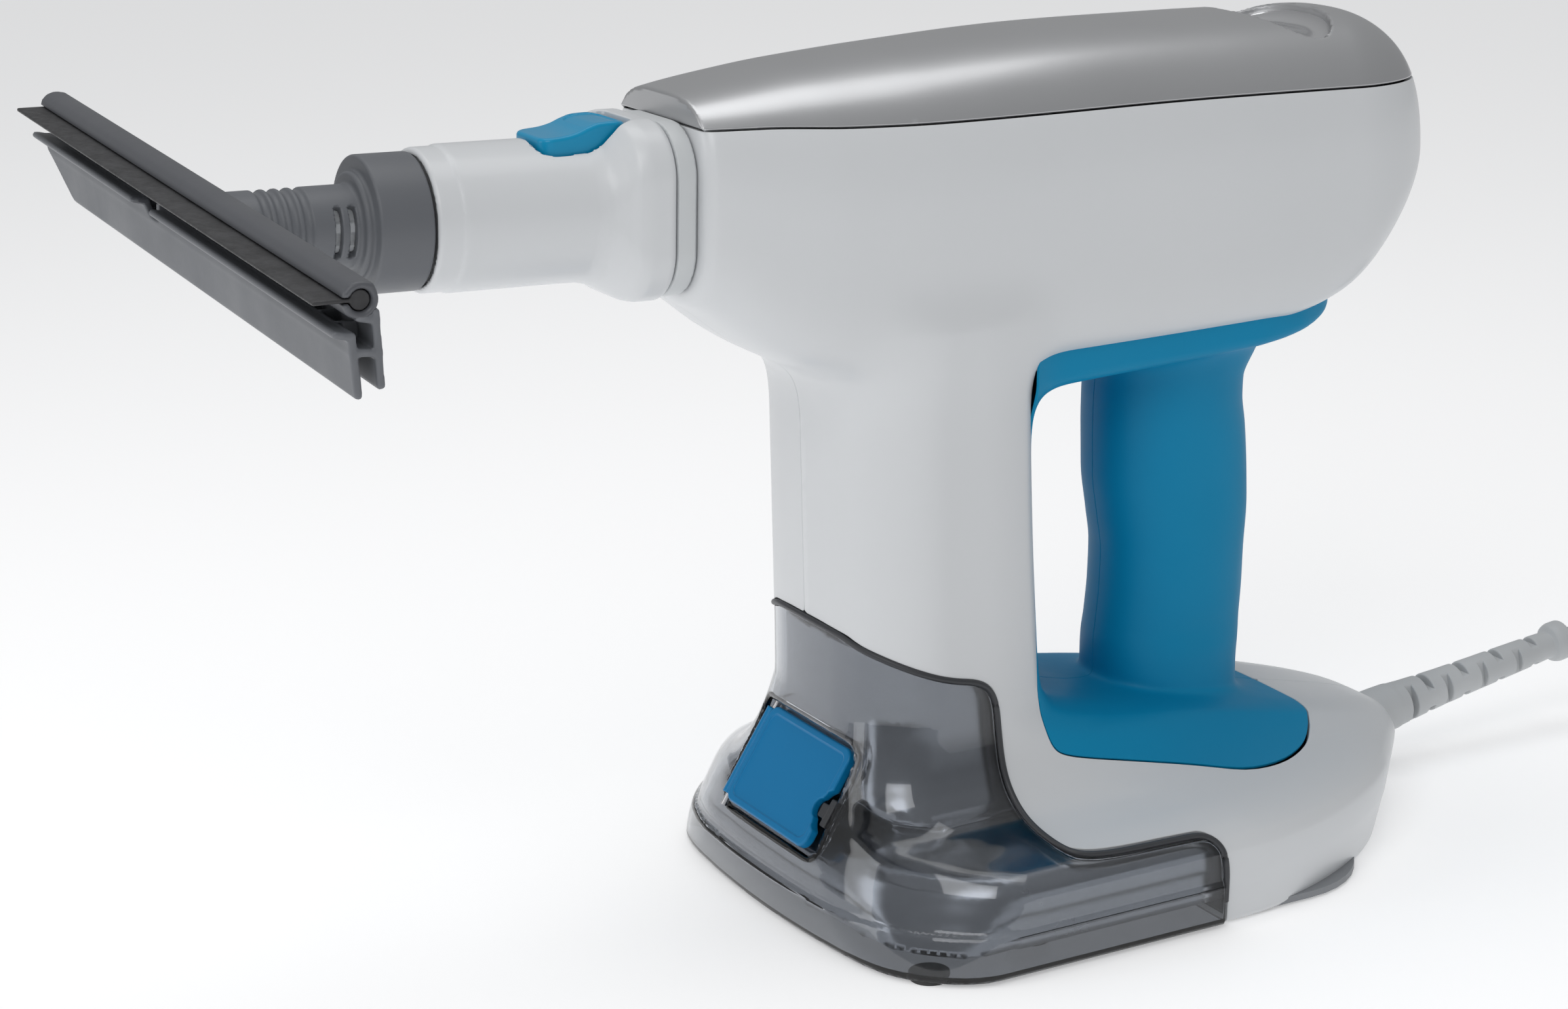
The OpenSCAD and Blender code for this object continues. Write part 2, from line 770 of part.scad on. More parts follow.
module squeegee_blade() {
    color([0.12, 0.12, 0.12]) head_frame() translate([0, head_l / 2 - 3, 0]) rotate([90, 0, 0])
        linear_extrude(head_l - 6) {
            translate([bead[0], bead[1]]) circle(r = 3);
            polygon([[13.7, 159], [15.2, 159], [14.9, 175], [14.1, 175]]);
        }
}

// ---- cord ----

module strain_relief() {
    color("lightgray") relief_frame() difference() {
        union() {
            translate([0, 0, -10]) cylinder(h = 10, r = 8);
            cylinder(h = 12, r = 9);
            translate([0, 0, 12]) cylinder(h = relief_l - 18, r1 = 8.8, r2 = 5.6);
            translate([0, 0, relief_l - 7]) cylinder(h = 3, r1 = 5.6, r2 = 8);
            translate([0, 0, relief_l - 4]) cylinder(h = 4, r = 8);
        }
        for (i = [0:7]) translate([0, 0, 16 + i * 9]) rotate([0, 0, i % 2 * 90]) {
            translate([-20, 3, 0]) cube([40, 20, 2.6]);
            translate([-20, -23, 0]) cube([40, 20, 2.6]);
        }
    }
}

module power_cord() {
    color("gainsboro") sweep(route, cord_d / 2);
}

// Solid ring of the outer shape of the coiled cord, with its upper edges cut off
module cord_coil() {
    h = coil_rows * cord_d;
    color("gainsboro") translate([coil_at[0], coil_at[1], 0.1]) rotate_extrude() difference() {
        translate([coil_rim - h, 0]) square([h, h]);
        for (x = [coil_rim + 0.5, coil_rim - h - 0.5]) translate([x, h + 0.5]) rotate([0, 0, 45])
            square(5, center = true);
    }
}

// Free end of the cord, from the side of the coil straight into the plug
module cord_tail() {
    start = [coil_at[0] + coil_rim - 1, 59, plug_at[2] + 3];
    bend = [start[0] + 0.6, 63, plug_at[2] + 2];
    color("gainsboro") sweep([start, bend, plug_at - [0, 6, 0], plug_at - [0, 0.02, 0]], cord_d / 2);
}

module cord_tie() {
    r = coil_rim - coil_rows * cord_d / 2;
    color("black") translate([coil_at[0] - r, coil_at[1], 0]) difference() {
        box([-16, -4, 0], [16, 4, 30.5]);
        box([-14.6, -5, -1], [14.6, 5, 28.9]);
    }
}

module plug_body() {
    color("gainsboro") translate(plug_at) rotate([-90, 0, 0]) {
        cylinder(h = 24, r1 = 5, r2 = 8);
        translate([0, 0, 24]) cylinder(h = 6, r1 = 11, r2 = 18);
        translate([0, 0, 30]) cylinder(h = 26, r = 18.4);
    }
}

module plug_pins() {
    color("silver") translate(plug_at) rotate([-90, 0, 0]) for (x = [-9.5, 9.5]) translate([x, 0, 56])
        cylinder(h = 19, r = 2.4);
}

housing_near();
housing_far();
top_cover();
thumb_recess();
grip_near();
grip_far();
steam_trigger();
trigger_pin();
trigger_spring();
trigger_switch();
base_plate();
rubber_feet();
housing_screws();
water_tank();
tank_gasket();
filler_cap();
cap_seal();
cap_pin();
cap_latch();
intake_filter();
intake_tube();
pump();
pump_mounts();
feed_hose();
boiler();
boiler_straps();
thermostat();
thermal_fuse();
steam_pipe();
outlet_spigot();
outlet_oring();
control_board();
terminal_block();
wire_loom();
adaptor_shell();
adaptor_collar();
adaptor_core();
release_button();
button_pin();
button_spring();
nozzle_cup();
neck_insert();
squeegee_head();
squeegee_blade();
strain_relief();
power_cord();
cord_coil();
cord_tie();
cord_tail();
plug_body();
plug_pins();
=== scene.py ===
import bpy
import json
import math
import numpy as np
from mathutils import Matrix, Vector


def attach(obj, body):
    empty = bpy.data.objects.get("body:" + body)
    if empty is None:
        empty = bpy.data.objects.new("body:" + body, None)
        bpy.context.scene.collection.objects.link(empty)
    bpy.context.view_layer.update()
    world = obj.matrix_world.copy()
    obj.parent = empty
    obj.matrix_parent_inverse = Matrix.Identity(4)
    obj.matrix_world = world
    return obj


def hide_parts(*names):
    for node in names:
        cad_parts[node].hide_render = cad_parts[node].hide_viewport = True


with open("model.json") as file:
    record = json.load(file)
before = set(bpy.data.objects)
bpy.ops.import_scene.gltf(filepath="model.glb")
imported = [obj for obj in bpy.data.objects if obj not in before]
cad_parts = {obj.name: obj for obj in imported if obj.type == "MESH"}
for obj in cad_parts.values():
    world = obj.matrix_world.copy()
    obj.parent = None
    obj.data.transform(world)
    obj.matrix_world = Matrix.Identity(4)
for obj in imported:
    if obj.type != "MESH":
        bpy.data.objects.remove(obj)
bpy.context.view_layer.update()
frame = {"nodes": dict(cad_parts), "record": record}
MM = 0.001
MARGIN = 6  # mm of surface kept past a cut until the cut is made

# ------------------------------------------------------------------ camera
DISTANCE = 1.15
AZ, EL, ROLL = math.radians(28.0), math.radians(16.2), math.radians(-1.4)
target = Vector((-0.020, 0.0, 0.1485))
back = Vector((-math.sin(AZ) * math.cos(EL), -math.cos(AZ) * math.cos(EL), math.sin(EL)))
right = Vector((0, 0, 1)).cross(back).normalized()
up = back.cross(right)
right, up = (right * math.cos(ROLL) + up * math.sin(ROLL), up * math.cos(ROLL) - right * math.sin(ROLL))
cam_data = bpy.data.cameras.new("camera")
cam_data.lens = 76.15
cam_data.sensor_width = 36.0
cam_data.sensor_fit = "HORIZONTAL"
cam_data.clip_start = 0.05
cam = bpy.data.objects.new("camera", cam_data)
bpy.context.scene.collection.objects.link(cam)
place = target + back * DISTANCE
cam.matrix_world = Matrix(((right.x, up.x, back.x, place.x), (right.y, up.y, back.y, place.y),
                           (right.z, up.z, back.z, place.z), (0, 0, 0, 1)))
bpy.context.scene.camera = cam


# ------------------------------------------------------------------ materials
def plastic(name, color, rough, *, metallic=0.0, tint=0.04, tint_scale=9.0, grain=0.02, grain_scale=900.0,
            swell=0.0, swell_scale=14.0, rough_vary=0.06, coat=0.0, wear=0.12, wear_color=None,
            transmission=0.0, ior=1.49, spec=0.5):
    """A procedural surface: colour drift, pale worn edges, handling marks, and grain and swell in mm."""
    m = bpy.data.materials.new(name)
    m.use_nodes = True
    nt = m.node_tree
    n, link = nt.nodes, nt.links.new
    bsdf = n["Principled BSDF"]
    coord = n.new("ShaderNodeTexCoord")

    def noise(scale, detail=3.0, rough_=0.55):
        t = n.new("ShaderNodeTexNoise")
        t.inputs["Scale"].default_value = scale
        t.inputs["Detail"].default_value = detail
        t.inputs["Roughness"].default_value = rough_
        link(coord.outputs["Object"], t.inputs["Vector"])
        return t

    # colour: slow drift plus lighter worn edges
    drift = noise(tint_scale)
    ramp = n.new("ShaderNodeValToRGB")
    ramp.color_ramp.elements[0].position = 0.3
    ramp.color_ramp.elements[1].position = 0.7
    lo = [max(0.0, c * (1 - tint)) for c in color]
    hi = [min(1.0, c * (1 + tint)) for c in color]
    ramp.color_ramp.elements[0].color = (*lo, 1)
    ramp.color_ramp.elements[1].color = (*hi, 1)
    link(drift.outputs["Fac"], ramp.inputs["Fac"])
    geo = n.new("ShaderNodeNewGeometry")
    edge = n.new("ShaderNodeValToRGB")
    edge.color_ramp.elements[0].position = 0.53
    edge.color_ramp.elements[0].color = (0, 0, 0, 1)
    edge.color_ramp.elements[1].position = 0.62
    edge.color_ramp.elements[1].color = (wear, wear, wear, 1)
    link(geo.outputs["Pointiness"], edge.inputs["Fac"])
    mix = n.new("ShaderNodeMix")
    mix.data_type = "RGBA"
    link(edge.outputs["Color"], mix.inputs["Factor"])
    link(ramp.outputs["Color"], mix.inputs["A"])
    wc = wear_color or [min(1.0, c * 1.25 + 0.06) for c in color]
    mix.inputs["B"].default_value = (*wc, 1)
    link(mix.outputs["Result"], bsdf.inputs["Base Color"])
    # gloss: handling marks
    rub = noise(tint_scale * 3.1, 5.0, 0.6)
    span = n.new("ShaderNodeMapRange")
    span.inputs["From Min"].default_value = 0.3
    span.inputs["From Max"].default_value = 0.7
    span.inputs["To Min"].default_value = max(0.0, rough - rough_vary)
    span.inputs["To Max"].default_value = min(1.0, rough + rough_vary)
    link(rub.outputs["Fac"], span.inputs["Value"])
    link(span.outputs["Result"], bsdf.inputs["Roughness"])
    # surface: mould grain, and slow swell where asked
    fine = noise(grain_scale, 2.0)
    bump = n.new("ShaderNodeBump")
    bump.inputs["Strength"].default_value = 1.0
    bump.inputs["Distance"].default_value = grain * MM
    link(fine.outputs["Fac"], bump.inputs["Height"])
    if swell:
        slow = noise(swell_scale, 1.5)
        bump2 = n.new("ShaderNodeBump")
        bump2.inputs["Distance"].default_value = swell * MM
        link(slow.outputs["Fac"], bump2.inputs["Height"])
        link(bump2.outputs["Normal"], bump.inputs["Normal"])
    link(bump.outputs["Normal"], bsdf.inputs["Normal"])
    bsdf.inputs["Metallic"].default_value = metallic
    bsdf.inputs["Coat Weight"].default_value = coat
    bsdf.inputs["Coat Roughness"].default_value = 0.12
    bsdf.inputs["Transmission Weight"].default_value = transmission
    bsdf.inputs["IOR"].default_value = ior
    bsdf.inputs["Specular IOR Level"].default_value = spec
    return m


WHITE = plastic("white_shell", (0.66, 0.675, 0.69), 0.36, tint=0.012, grain=0.006, grain_scale=700, coat=0.12,
                rough_vary=0.04, wear=0.10)
SILVER = plastic("silver_lacquer", (0.50, 0.505, 0.515), 0.34, metallic=0.85, tint=0.03, tint_scale=5,
                 grain=0.010, grain_scale=2600, coat=0.25, rough_vary=0.03, wear=0.25)
SCOOP = plastic("polished_recess", (0.62, 0.625, 0.635), 0.16, metallic=0.9, tint=0.03, grain=0.004,
                grain_scale=1800, coat=0.2, rough_vary=0.04, wear=0.3)
BLUE = plastic("soft_blue_skin", (0.0, 0.235, 0.44), 0.50, tint=0.05, grain=0.018, grain_scale=1500, spec=0.2,
               rough_vary=0.05, wear=0.10, wear_color=[0.01, 0.30, 0.52])
TRIGGER = plastic("blue_trigger", (0.0, 0.215, 0.41), 0.44, spec=0.22, tint=0.04, grain=0.012,
                  grain_scale=1200, rough_vary=0.05, wear=0.14, wear_color=[0.03, 0.27, 0.44])
CAPBLUE = plastic("blue_moulding", (0.0, 0.175, 0.40), 0.38, spec=0.25, tint=0.05, grain=0.012,
                  grain_scale=1100, coat=0.10, wear=0.22, wear_color=[0.05, 0.33, 0.52])
BUTTON = plastic("blue_button", (0.0, 0.27, 0.49), 0.34, spec=0.3, tint=0.04, grain=0.010,
                 grain_scale=1100, coat=0.18, wear=0.25, wear_color=[0.06, 0.38, 0.56])
SMOKE = plastic("smoked_tank", (0.54, 0.56, 0.59), 0.05, tint=0.03, grain=0.0008, grain_scale=300, swell=0.03,
                swell_scale=11, rough_vary=0.015, transmission=1.0, ior=1.5, wear=0.0)
LINER = plastic("tank_liner", (0.60, 0.61, 0.63), 0.22, metallic=0.85, tint=0.10, grain=0.004,
                grain_scale=500, swell=0.5, swell_scale=20, rough_vary=0.06, wear=0.2)
SEAL = plastic("seal_rubber", (0.035, 0.037, 0.042), 0.42, tint=0.12, grain=0.012, grain_scale=900, wear=0.10)
DARK = plastic("dark_nozzle", (0.125, 0.132, 0.145), 0.46, tint=0.06, grain=0.022, grain_scale=1000,
               rough_vary=0.07, wear=0.22, wear_color=[0.26, 0.27, 0.29])
DARKER = plastic("black_nylon", (0.035, 0.037, 0.041), 0.5, tint=0.10, grain=0.02, grain_scale=900, wear=0.15)
BAR = plastic("grey_bar", (0.078, 0.082, 0.092), 0.42, tint=0.05, grain=0.020, grain_scale=1000,
              rough_vary=0.07, wear=0.20, wear_color=[0.30, 0.31, 0.33])
BLADE = plastic("wiper_rubber", (0.030, 0.030, 0.032), 0.55, tint=0.35, tint_scale=120, grain=0.06,
                grain_scale=650, rough_vary=0.16, wear=0.2, wear_color=[0.10, 0.10, 0.10])
PALE = plastic("pale_insert", (0.52, 0.54, 0.56), 0.32, tint=0.05, grain=0.01, grain_scale=700, coat=0.2)
COLLAR = plastic("collar_grey", (0.60, 0.62, 0.63), 0.42, tint=0.02, grain=0.010, grain_scale=800, wear=0.10)
CORD = plastic("cord_pvc", (0.50, 0.515, 0.525), 0.50, tint=0.05, tint_scale=30, grain=0.02, grain_scale=900,
               rough_vary=0.08, wear=0.12)
METAL = plastic("plated_steel", (0.56, 0.56, 0.57), 0.30, metallic=1.0, tint=0.05, grain=0.006,
                grain_scale=1500, wear=0.2)
BRASS = plastic("turned_brass", (0.66, 0.47, 0.20), 0.28, metallic=1.0, tint=0.06, grain=0.006,
                grain_scale=1500, wear=0.2)
CAST = plastic("cast_alloy", (0.48, 0.48, 0.49), 0.48, metallic=0.9, tint=0.08, grain=0.05,
               grain_scale=350, wear=0.2)
MILKY = plastic("silicone_tube", (0.66, 0.66, 0.64), 0.35, tint=0.04, grain=0.01, grain_scale=500)
TAN = plastic("phenolic", (0.48, 0.37, 0.24), 0.5, tint=0.1, grain=0.02, grain_scale=500)
GREEN = plastic("circuit_board", (0.02, 0.14, 0.07), 0.35, tint=0.2, tint_scale=60, grain=0.02,
                grain_scale=500)
IVORY = plastic("natural_nylon", (0.62, 0.59, 0.50), 0.42, tint=0.05, grain=0.01, grain_scale=500)
BASEGREY = plastic("base_texture", (0.22, 0.23, 0.245), 0.55, tint=0.06, grain=0.05, grain_scale=420,
                   wear=0.15)
FOOT = plastic("foot_rubber", (0.03, 0.03, 0.03), 0.7, tint=0.2, grain=0.04, grain_scale=500)

BY_SLOT = {"shell_white": WHITE, "cover_silver": SILVER, "recess_trim": SCOOP, "soft_blue": BLUE,
           "trigger_blue": TRIGGER, "cap_blue": CAPBLUE, "steel": METAL, "black_plastic": DARKER,
           "base_grey": BASEGREY, "foot_rubber": FOOT, "tank_smoke": SMOKE, "seal_black": SEAL,
           "silicone_clear": MILKY, "boiler_alloy": CAST, "ceramic_tan": TAN, "outlet_brass": BRASS,
           "board_green": GREEN, "ivory_plastic": IVORY, "wire_black": DARKER, "collar_grey": COLLAR,
           "nozzle_grey": DARK, "nozzle_grey_light": BAR, "insert_pale": PALE, "blade_rubber": BLADE,
           "cord_grey": CORD, "tie_black": DARKER, "pin_steel": METAL}
SLOT_OF = {s["node"]: s["material_slot"] for s in frame["record"]["subparts"]}
for node_name, obj in frame["nodes"].items():
    mat = BY_SLOT[SLOT_OF[node_name]]
    if obj.data.materials:
        for i in range(len(obj.data.materials)):
            obj.data.materials[i] = mat
    else:
        obj.data.materials.append(mat)


# ------------------------------------------------------------------ mesh tools (all in millimetres)
def add(name, verts, faces, mat, body, replaces=(), normals=None, smooth=True):
    mesh = bpy.data.meshes.new(name)
    v = np.asarray(verts, float) * MM
    mesh.from_pydata(v.tolist(), [], [list(map(int, f)) for f in faces])
    mesh.validate(verbose=False)
    mesh.update()
    if smooth:
        mesh.shade_smooth()
    if normals is not None and len(mesh.vertices) == len(normals):
        mesh.normals_split_custom_set_from_vertices(np.asarray(normals, float).tolist())
    mesh.materials.append(mat)
    obj = bpy.data.objects.new(name, mesh)
    bpy.context.scene.collection.objects.link(obj)
    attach(obj, body)
    if replaces:
        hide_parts(*replaces)
    return obj


def hermite(xs, ys):
    """Monotone cubic through the stations."""
    xs, ys = np.asarray(xs, float), np.asarray(ys, float)
    h = np.diff(xs)
    d = np.diff(ys) / h
    m = np.zeros_like(xs)
    m[0], m[-1] = d[0], d[-1]
    for i in range(1, len(xs) - 1):
        if d[i - 1] * d[i] > 0:
            w1, w2 = 2 * h[i] + h[i - 1], h[i] + 2 * h[i - 1]
            m[i] = (w1 + w2) / (w1 / d[i - 1] + w2 / d[i])

    def f(x):
        x = np.clip(x, xs[0], xs[-1])
        i = np.clip(np.searchsorted(xs, x, side="right") - 1, 0, len(xs) - 2)
        t = (x - xs[i]) / h[i]
        return ((1 + 2 * t) * (1 - t) ** 2 * ys[i] + t * (1 - t) ** 2 * h[i] * m[i]
                + t * t * (3 - 2 * t) * ys[i + 1] + t * t * (t - 1) * h[i] * m[i + 1])
    return f


def rmax(a, b, r):
    """Intersection with a round edge of radius r."""
    u, v = np.maximum(a + r, 0), np.maximum(b + r, 0)
    return np.minimum(-r, np.maximum(a, b)) + np.sqrt(u * u + v * v)


def smin(a, b, k):
    """Union with a fillet."""
    h = np.maximum(k - np.abs(a - b), 0) / k
    return np.minimum(a, b) - h * h * h * k / 6


def poly_dist(x, z, pts):
    """Signed distance to a closed outline, negative inside."""
    pts = np.asarray(pts, float)
    d = np.full(x.shape, 1e9)
    s = np.ones(x.shape)
    for i in range(len(pts)):
        a, b = pts[i - 1], pts[i]
        e = b - a
        wx, wz = x - a[0], z - a[1]
        t = np.clip((wx * e[0] + wz * e[1]) / (e @ e), 0, 1)
        d = np.minimum(d, (wx - e[0] * t) ** 2 + (wz - e[1] * t) ** 2)
        c1, c2, c3 = z >= a[1], z < b[1], e[0] * wz > e[1] * wx
        s = np.where((c1 & c2 & c3) | (~c1 & ~c2 & ~c3), -s, s)
    return s * np.sqrt(d)


def smooth_line(pts, n=6):
    """Curve through the points."""
    p = np.asarray(pts, float)
    p = np.vstack([2 * p[0] - p[1], p, 2 * p[-1] - p[-2]])
    out = []
    for i in range(1, len(p) - 2):
        for t in np.linspace(0, 1, n, endpoint=False):
            out.append(0.5 * ((2 * p[i]) + (-p[i - 1] + p[i + 1]) * t
                              + (2 * p[i - 1] - 5 * p[i] + 4 * p[i + 1] - p[i + 2]) * t * t
                              + (-p[i - 1] + 3 * p[i] - 3 * p[i + 1] + p[i + 2]) * t ** 3))
    out.append(p[-2])
    return np.array(out)


def grad(f, p, e=0.2):
    g = np.empty_like(p)
    for i in range(3):
        a, b = p.copy(), p.copy()
        a[:, i] += e
        b[:, i] -= e
        g[:, i] = (f(a[:, 0], a[:, 1], a[:, 2]) - f(b[:, 0], b[:, 1], b[:, 2])) / (2 * e)
    return g


def unit(v):
    return v / np.maximum(np.linalg.norm(v, axis=1, keepdims=True), 1e-9)


def nets(f, lo, hi, h, relax=2, rounds=3):
    """Surface of f = 0 as even quads that lie exactly on it."""
    lo, hi = np.asarray(lo, float), np.asarray(hi, float)
    n = np.ceil((hi - lo) / h).astype(int) + 1
    ax = [lo[i] + h * np.arange(n[i]) for i in range(3)]
    field = np.empty(n, np.float32)
    for i0 in range(0, n[0], 16):
        gx, gy, gz = np.meshgrid(ax[0][i0:i0 + 16], ax[1], ax[2], indexing="ij")
        field[i0:i0 + 16] = f(gx.ravel(), gy.ravel(), gz.ravel()).reshape(gx.shape)
    ins = field < 0
    count = np.zeros(n - 1, np.int8)
    corners = [(i, j, k) for i in (0, 1) for j in (0, 1) for k in (0, 1)]
    for i, j, k in corners:
        count += ins[i:n[0] - 1 + i, j:n[1] - 1 + j, k:n[2] - 1 + k]
    cells = np.argwhere((count > 0) & (count < 8))
    idx = -np.ones(n - 1, np.int64)
    idx[tuple(cells.T)] = np.arange(len(cells))
    val = np.stack([field[cells[:, 0] + i, cells[:, 1] + j, cells[:, 2] + k] for i, j, k in corners], 1)
    tot, num = np.zeros((len(cells), 3)), np.zeros(len(cells))
    for a in range(8):
        for b in range(a + 1, 8):
            ca, cb = np.array(corners[a]), np.array(corners[b])
            if np.abs(ca - cb).sum() != 1:
                continue
            m = (val[:, a] < 0) != (val[:, b] < 0)
            t = val[m, a] / (val[m, a] - val[m, b])
            tot[m] += ca + t[:, None] * (cb - ca)
            num[m] += 1
    v = lo + h * (cells + tot / num[:, None])
    quads = []
    for a in range(3):
        b, c = (a + 1) % 3, (a + 2) % 3
        sl0, sl1 = [slice(1, n[i] - 1) for i in range(3)], [slice(1, n[i] - 1) for i in range(3)]
        sl0[a], sl1[a] = slice(0, n[a] - 1), slice(1, n[a])
        s0, s1 = ins[tuple(sl0)], ins[tuple(sl1)]
        e = np.argwhere(s0 != s1)
        off = np.ones(3, int)
        off[a] = 0
        e = e + off
        flip = ~ins[tuple(e.T)]
        q = []
        for db, dc in ((-1, -1), (0, -1), (0, 0), (-1, 0)):
            w = e.copy()
            w[:, b] += db
            w[:, c] += dc
            q.append(idx[tuple(w.T)])
        q = np.stack(q, 1)
        q[flip] = q[flip][:, ::-1]
        quads.append(q)
    quads = np.vstack(quads)

    def project(v, times):
        for _ in range(times):
            d = f(v[:, 0], v[:, 1], v[:, 2])
            g = grad(f, v)
            step = d[:, None] * g / np.maximum((g * g).sum(1, keepdims=True), 1e-6)
            length = np.linalg.norm(step, axis=1, keepdims=True)
            v = v - step * np.minimum(1.0, h / np.maximum(length, 1e-9))
        return v

    v = project(v, 2)
    for _ in range(relax):
        acc, cnt = np.zeros_like(v), np.zeros(len(v))
        mid = v[quads].mean(1)
        for k in range(4):
            np.add.at(acc, quads[:, k], mid)
            np.add.at(cnt, quads[:, k], 1)
        v = 0.4 * v + 0.6 * acc / np.maximum(cnt, 1)[:, None]
        v = project(v, 1)
    return project(v, rounds), quads


def clip(v, tri, g):
    """The part of a triangle mesh where g, given at its points, is positive."""
    keep = g > 0
    k = keep[tri]
    cnt = k.sum(1)
    parts = [tri[cnt == 3]]
    edges, new = [], len(v)

    def cut(a, b):
        edges.append(np.stack([a, b], 1))

    one = tri[cnt == 1]
    lead = np.argmax(keep[one], 1)
    r = np.arange(len(one))
    a1, b1, c1 = one[r, lead], one[r, (lead + 1) % 3], one[r, (lead + 2) % 3]
    two = tri[cnt == 2]
    lead = np.argmax(~keep[two], 1)
    r = np.arange(len(two))
    a2, b2, c2 = two[r, lead], two[r, (lead + 1) % 3], two[r, (lead + 2) % 3]
    cut(a1, b1)
    cut(a1, c1)
    cut(b2, a2)
    cut(c2, a2)
    e = np.vstack(edges)
    uniq, inv = np.unique(e, axis=0, return_inverse=True)
    inv = inv.ravel()
    t = g[uniq[:, 0]] / (g[uniq[:, 0]] - g[uniq[:, 1]])
    pts = v[uniq[:, 0]] + t[:, None] * (v[uniq[:, 1]] - v[uniq[:, 0]])
    i = new + inv
    n1, n2 = len(a1), len(a2)
    ab, ac = i[:n1], i[n1:2 * n1]
    ba, ca = i[2 * n1:2 * n1 + n2], i[2 * n1 + n2:]
    parts.append(np.stack([a1, ab, ac], 1))
    parts.append(np.stack([b2, c2, ba], 1))
    parts.append(np.stack([ba, c2, ca], 1))
    tri = np.vstack(parts)
    v = np.vstack([v, pts])
    used = np.unique(tri)
    remap = -np.ones(len(v), np.int64)
    remap[used] = np.arange(len(used))
    return v[used], remap[tri]


def weld(v, tri, tol=0.04):
    """Joins points that a cut left almost on top of each other."""
    key = np.round(v / tol).astype(np.int64)
    _, first, inv = np.unique(key, axis=0, return_index=True, return_inverse=True)
    inv = inv.ravel()
    tri = inv[tri]
    ok = (tri[:, 0] != tri[:, 1]) & (tri[:, 1] != tri[:, 2]) & (tri[:, 2] != tri[:, 0])
    return v[first], tri[ok]


def skin(name, base, f, region, mat, body, replaces=(), lip=0.5, depth=2.4, inner=False, half=None):
    """Cuts the surface of f to where region is positive and gives the cut edge a rolled lip."""
    v, quads = base
    tri = np.vstack([quads[:, [0, 1, 2]], quads[:, [0, 2, 3]]])
    if half is not None:
        near = (half * v[:, 1] > -MARGIN)[tri].any(1)
        tri = tri[near]
    used = np.unique(tri)
    remap = -np.ones(len(v), np.int64)
    remap[used] = np.arange(len(used))
    v, tri = v[used], remap[tri]

    def level(p):
        return region(p[:, 0], p[:, 1], p[:, 2])

    g = level(v)
    close = np.abs(g) < MARGIN
    n = unit(grad(f, v))
    gg = grad(region, v[close])
    tang = gg - (gg * n[close]).sum(1, keepdims=True) * n[close]
    g[close] /= np.clip(np.linalg.norm(tang, axis=1), 0.35, 3.0)
    v, tri = clip(v, tri, g - lip)
    v, tri = weld(v, tri)
    n = unit(grad(f, v))
    # rolled lip along the open edge
    e = np.vstack([tri[:, [0, 1]], tri[:, [1, 2]], tri[:, [2, 0]]])
    srt = np.sort(e, 1)
    _, inv, cnt = np.unique(srt, axis=0, return_inverse=True, return_counts=True)
    rim = e[cnt[inv.ravel()] == 1]
    ids = np.unique(rim)
    loc = -np.ones(len(v), np.int64)
    loc[ids] = np.arange(len(ids))
    p, nn = v[ids], n[ids]
    gg = grad(region, p, 0.35)
    out = -(gg - (gg * nn).sum(1, keepdims=True) * nn)
    out = unit(out)
    for _ in range(2):
        acc = out.copy()
        np.add.at(acc, loc[rim[:, 0]], out[loc[rim[:, 1]]])
        np.add.at(acc, loc[rim[:, 1]], out[loc[rim[:, 0]]])
        out = unit(acc)
    rows_v, rows_n = [v], [n]
    for ang in (30, 60, 90):
        a = math.radians(ang)
        rows_v.append(p - nn * lip * (1 - math.cos(a)) + out * lip * math.sin(a))
        rows_n.append(nn * math.cos(a) + out * math.sin(a))
    rows_v.append(p - nn * depth + out * lip)
    rows_n.append(out)
    count = len(ids)
    faces = [tri]
    prev = ids
    total = len(v)
    for _ in range(4):
        cur = total + np.arange(count)
        total += count
        a, b = loc[rim[:, 0]], loc[rim[:, 1]]
        faces.append(np.stack([prev[b], prev[a], cur[a]], 1))
        faces.append(np.stack([prev[b], cur[a], cur[b]], 1))
        prev = cur
    vv, fn = np.vstack(rows_v), np.vstack(rows_n)
    if inner:
        base_i = len(vv)
        vin = v - n * depth
        vv, fn = np.vstack([vv, vin]), np.vstack([fn, -n])
        faces.append(tri[:, ::-1] + base_i)
        cur = base_i + ids
        a, b = loc[rim[:, 0]], loc[rim[:, 1]]
        faces.append(np.stack([prev[b], prev[a], cur[a]], 1))
        faces.append(np.stack([prev[b], cur[a], cur[b]], 1))
    return add(name, vv, np.vstack(faces), mat, body, replaces, normals=fn)


def solid(name, f, lo, hi, h, mat, body, replaces=(), relax=2, world=None):
    """Closed piece from an implicit shape, with its true normals."""
    v, q = nets(f, lo, hi, h, relax)
    n = unit(grad(f, v, 0.12))
    if world is not None:
        origin, axes = world
        v, n = origin + v @ axes, n @ axes
        if np.linalg.det(axes) < 0:
            q = q[:, ::-1]
    return add(name, v, q, mat, body, replaces, normals=n)


# ------------------------------------------------------------------ frames along the nozzle
TILT = math.radians(2.5)
FWD = np.array([-math.cos(TILT), 0, math.sin(TILT)])
UPN = np.array([math.sin(TILT), 0, math.cos(TILT)])
NOSE = np.array([-64.0, 0, 260.0])
NOZZLE = (NOSE, np.array([UPN, [0, 1, 0], FWD]))
ROLLH = math.radians(3.0)
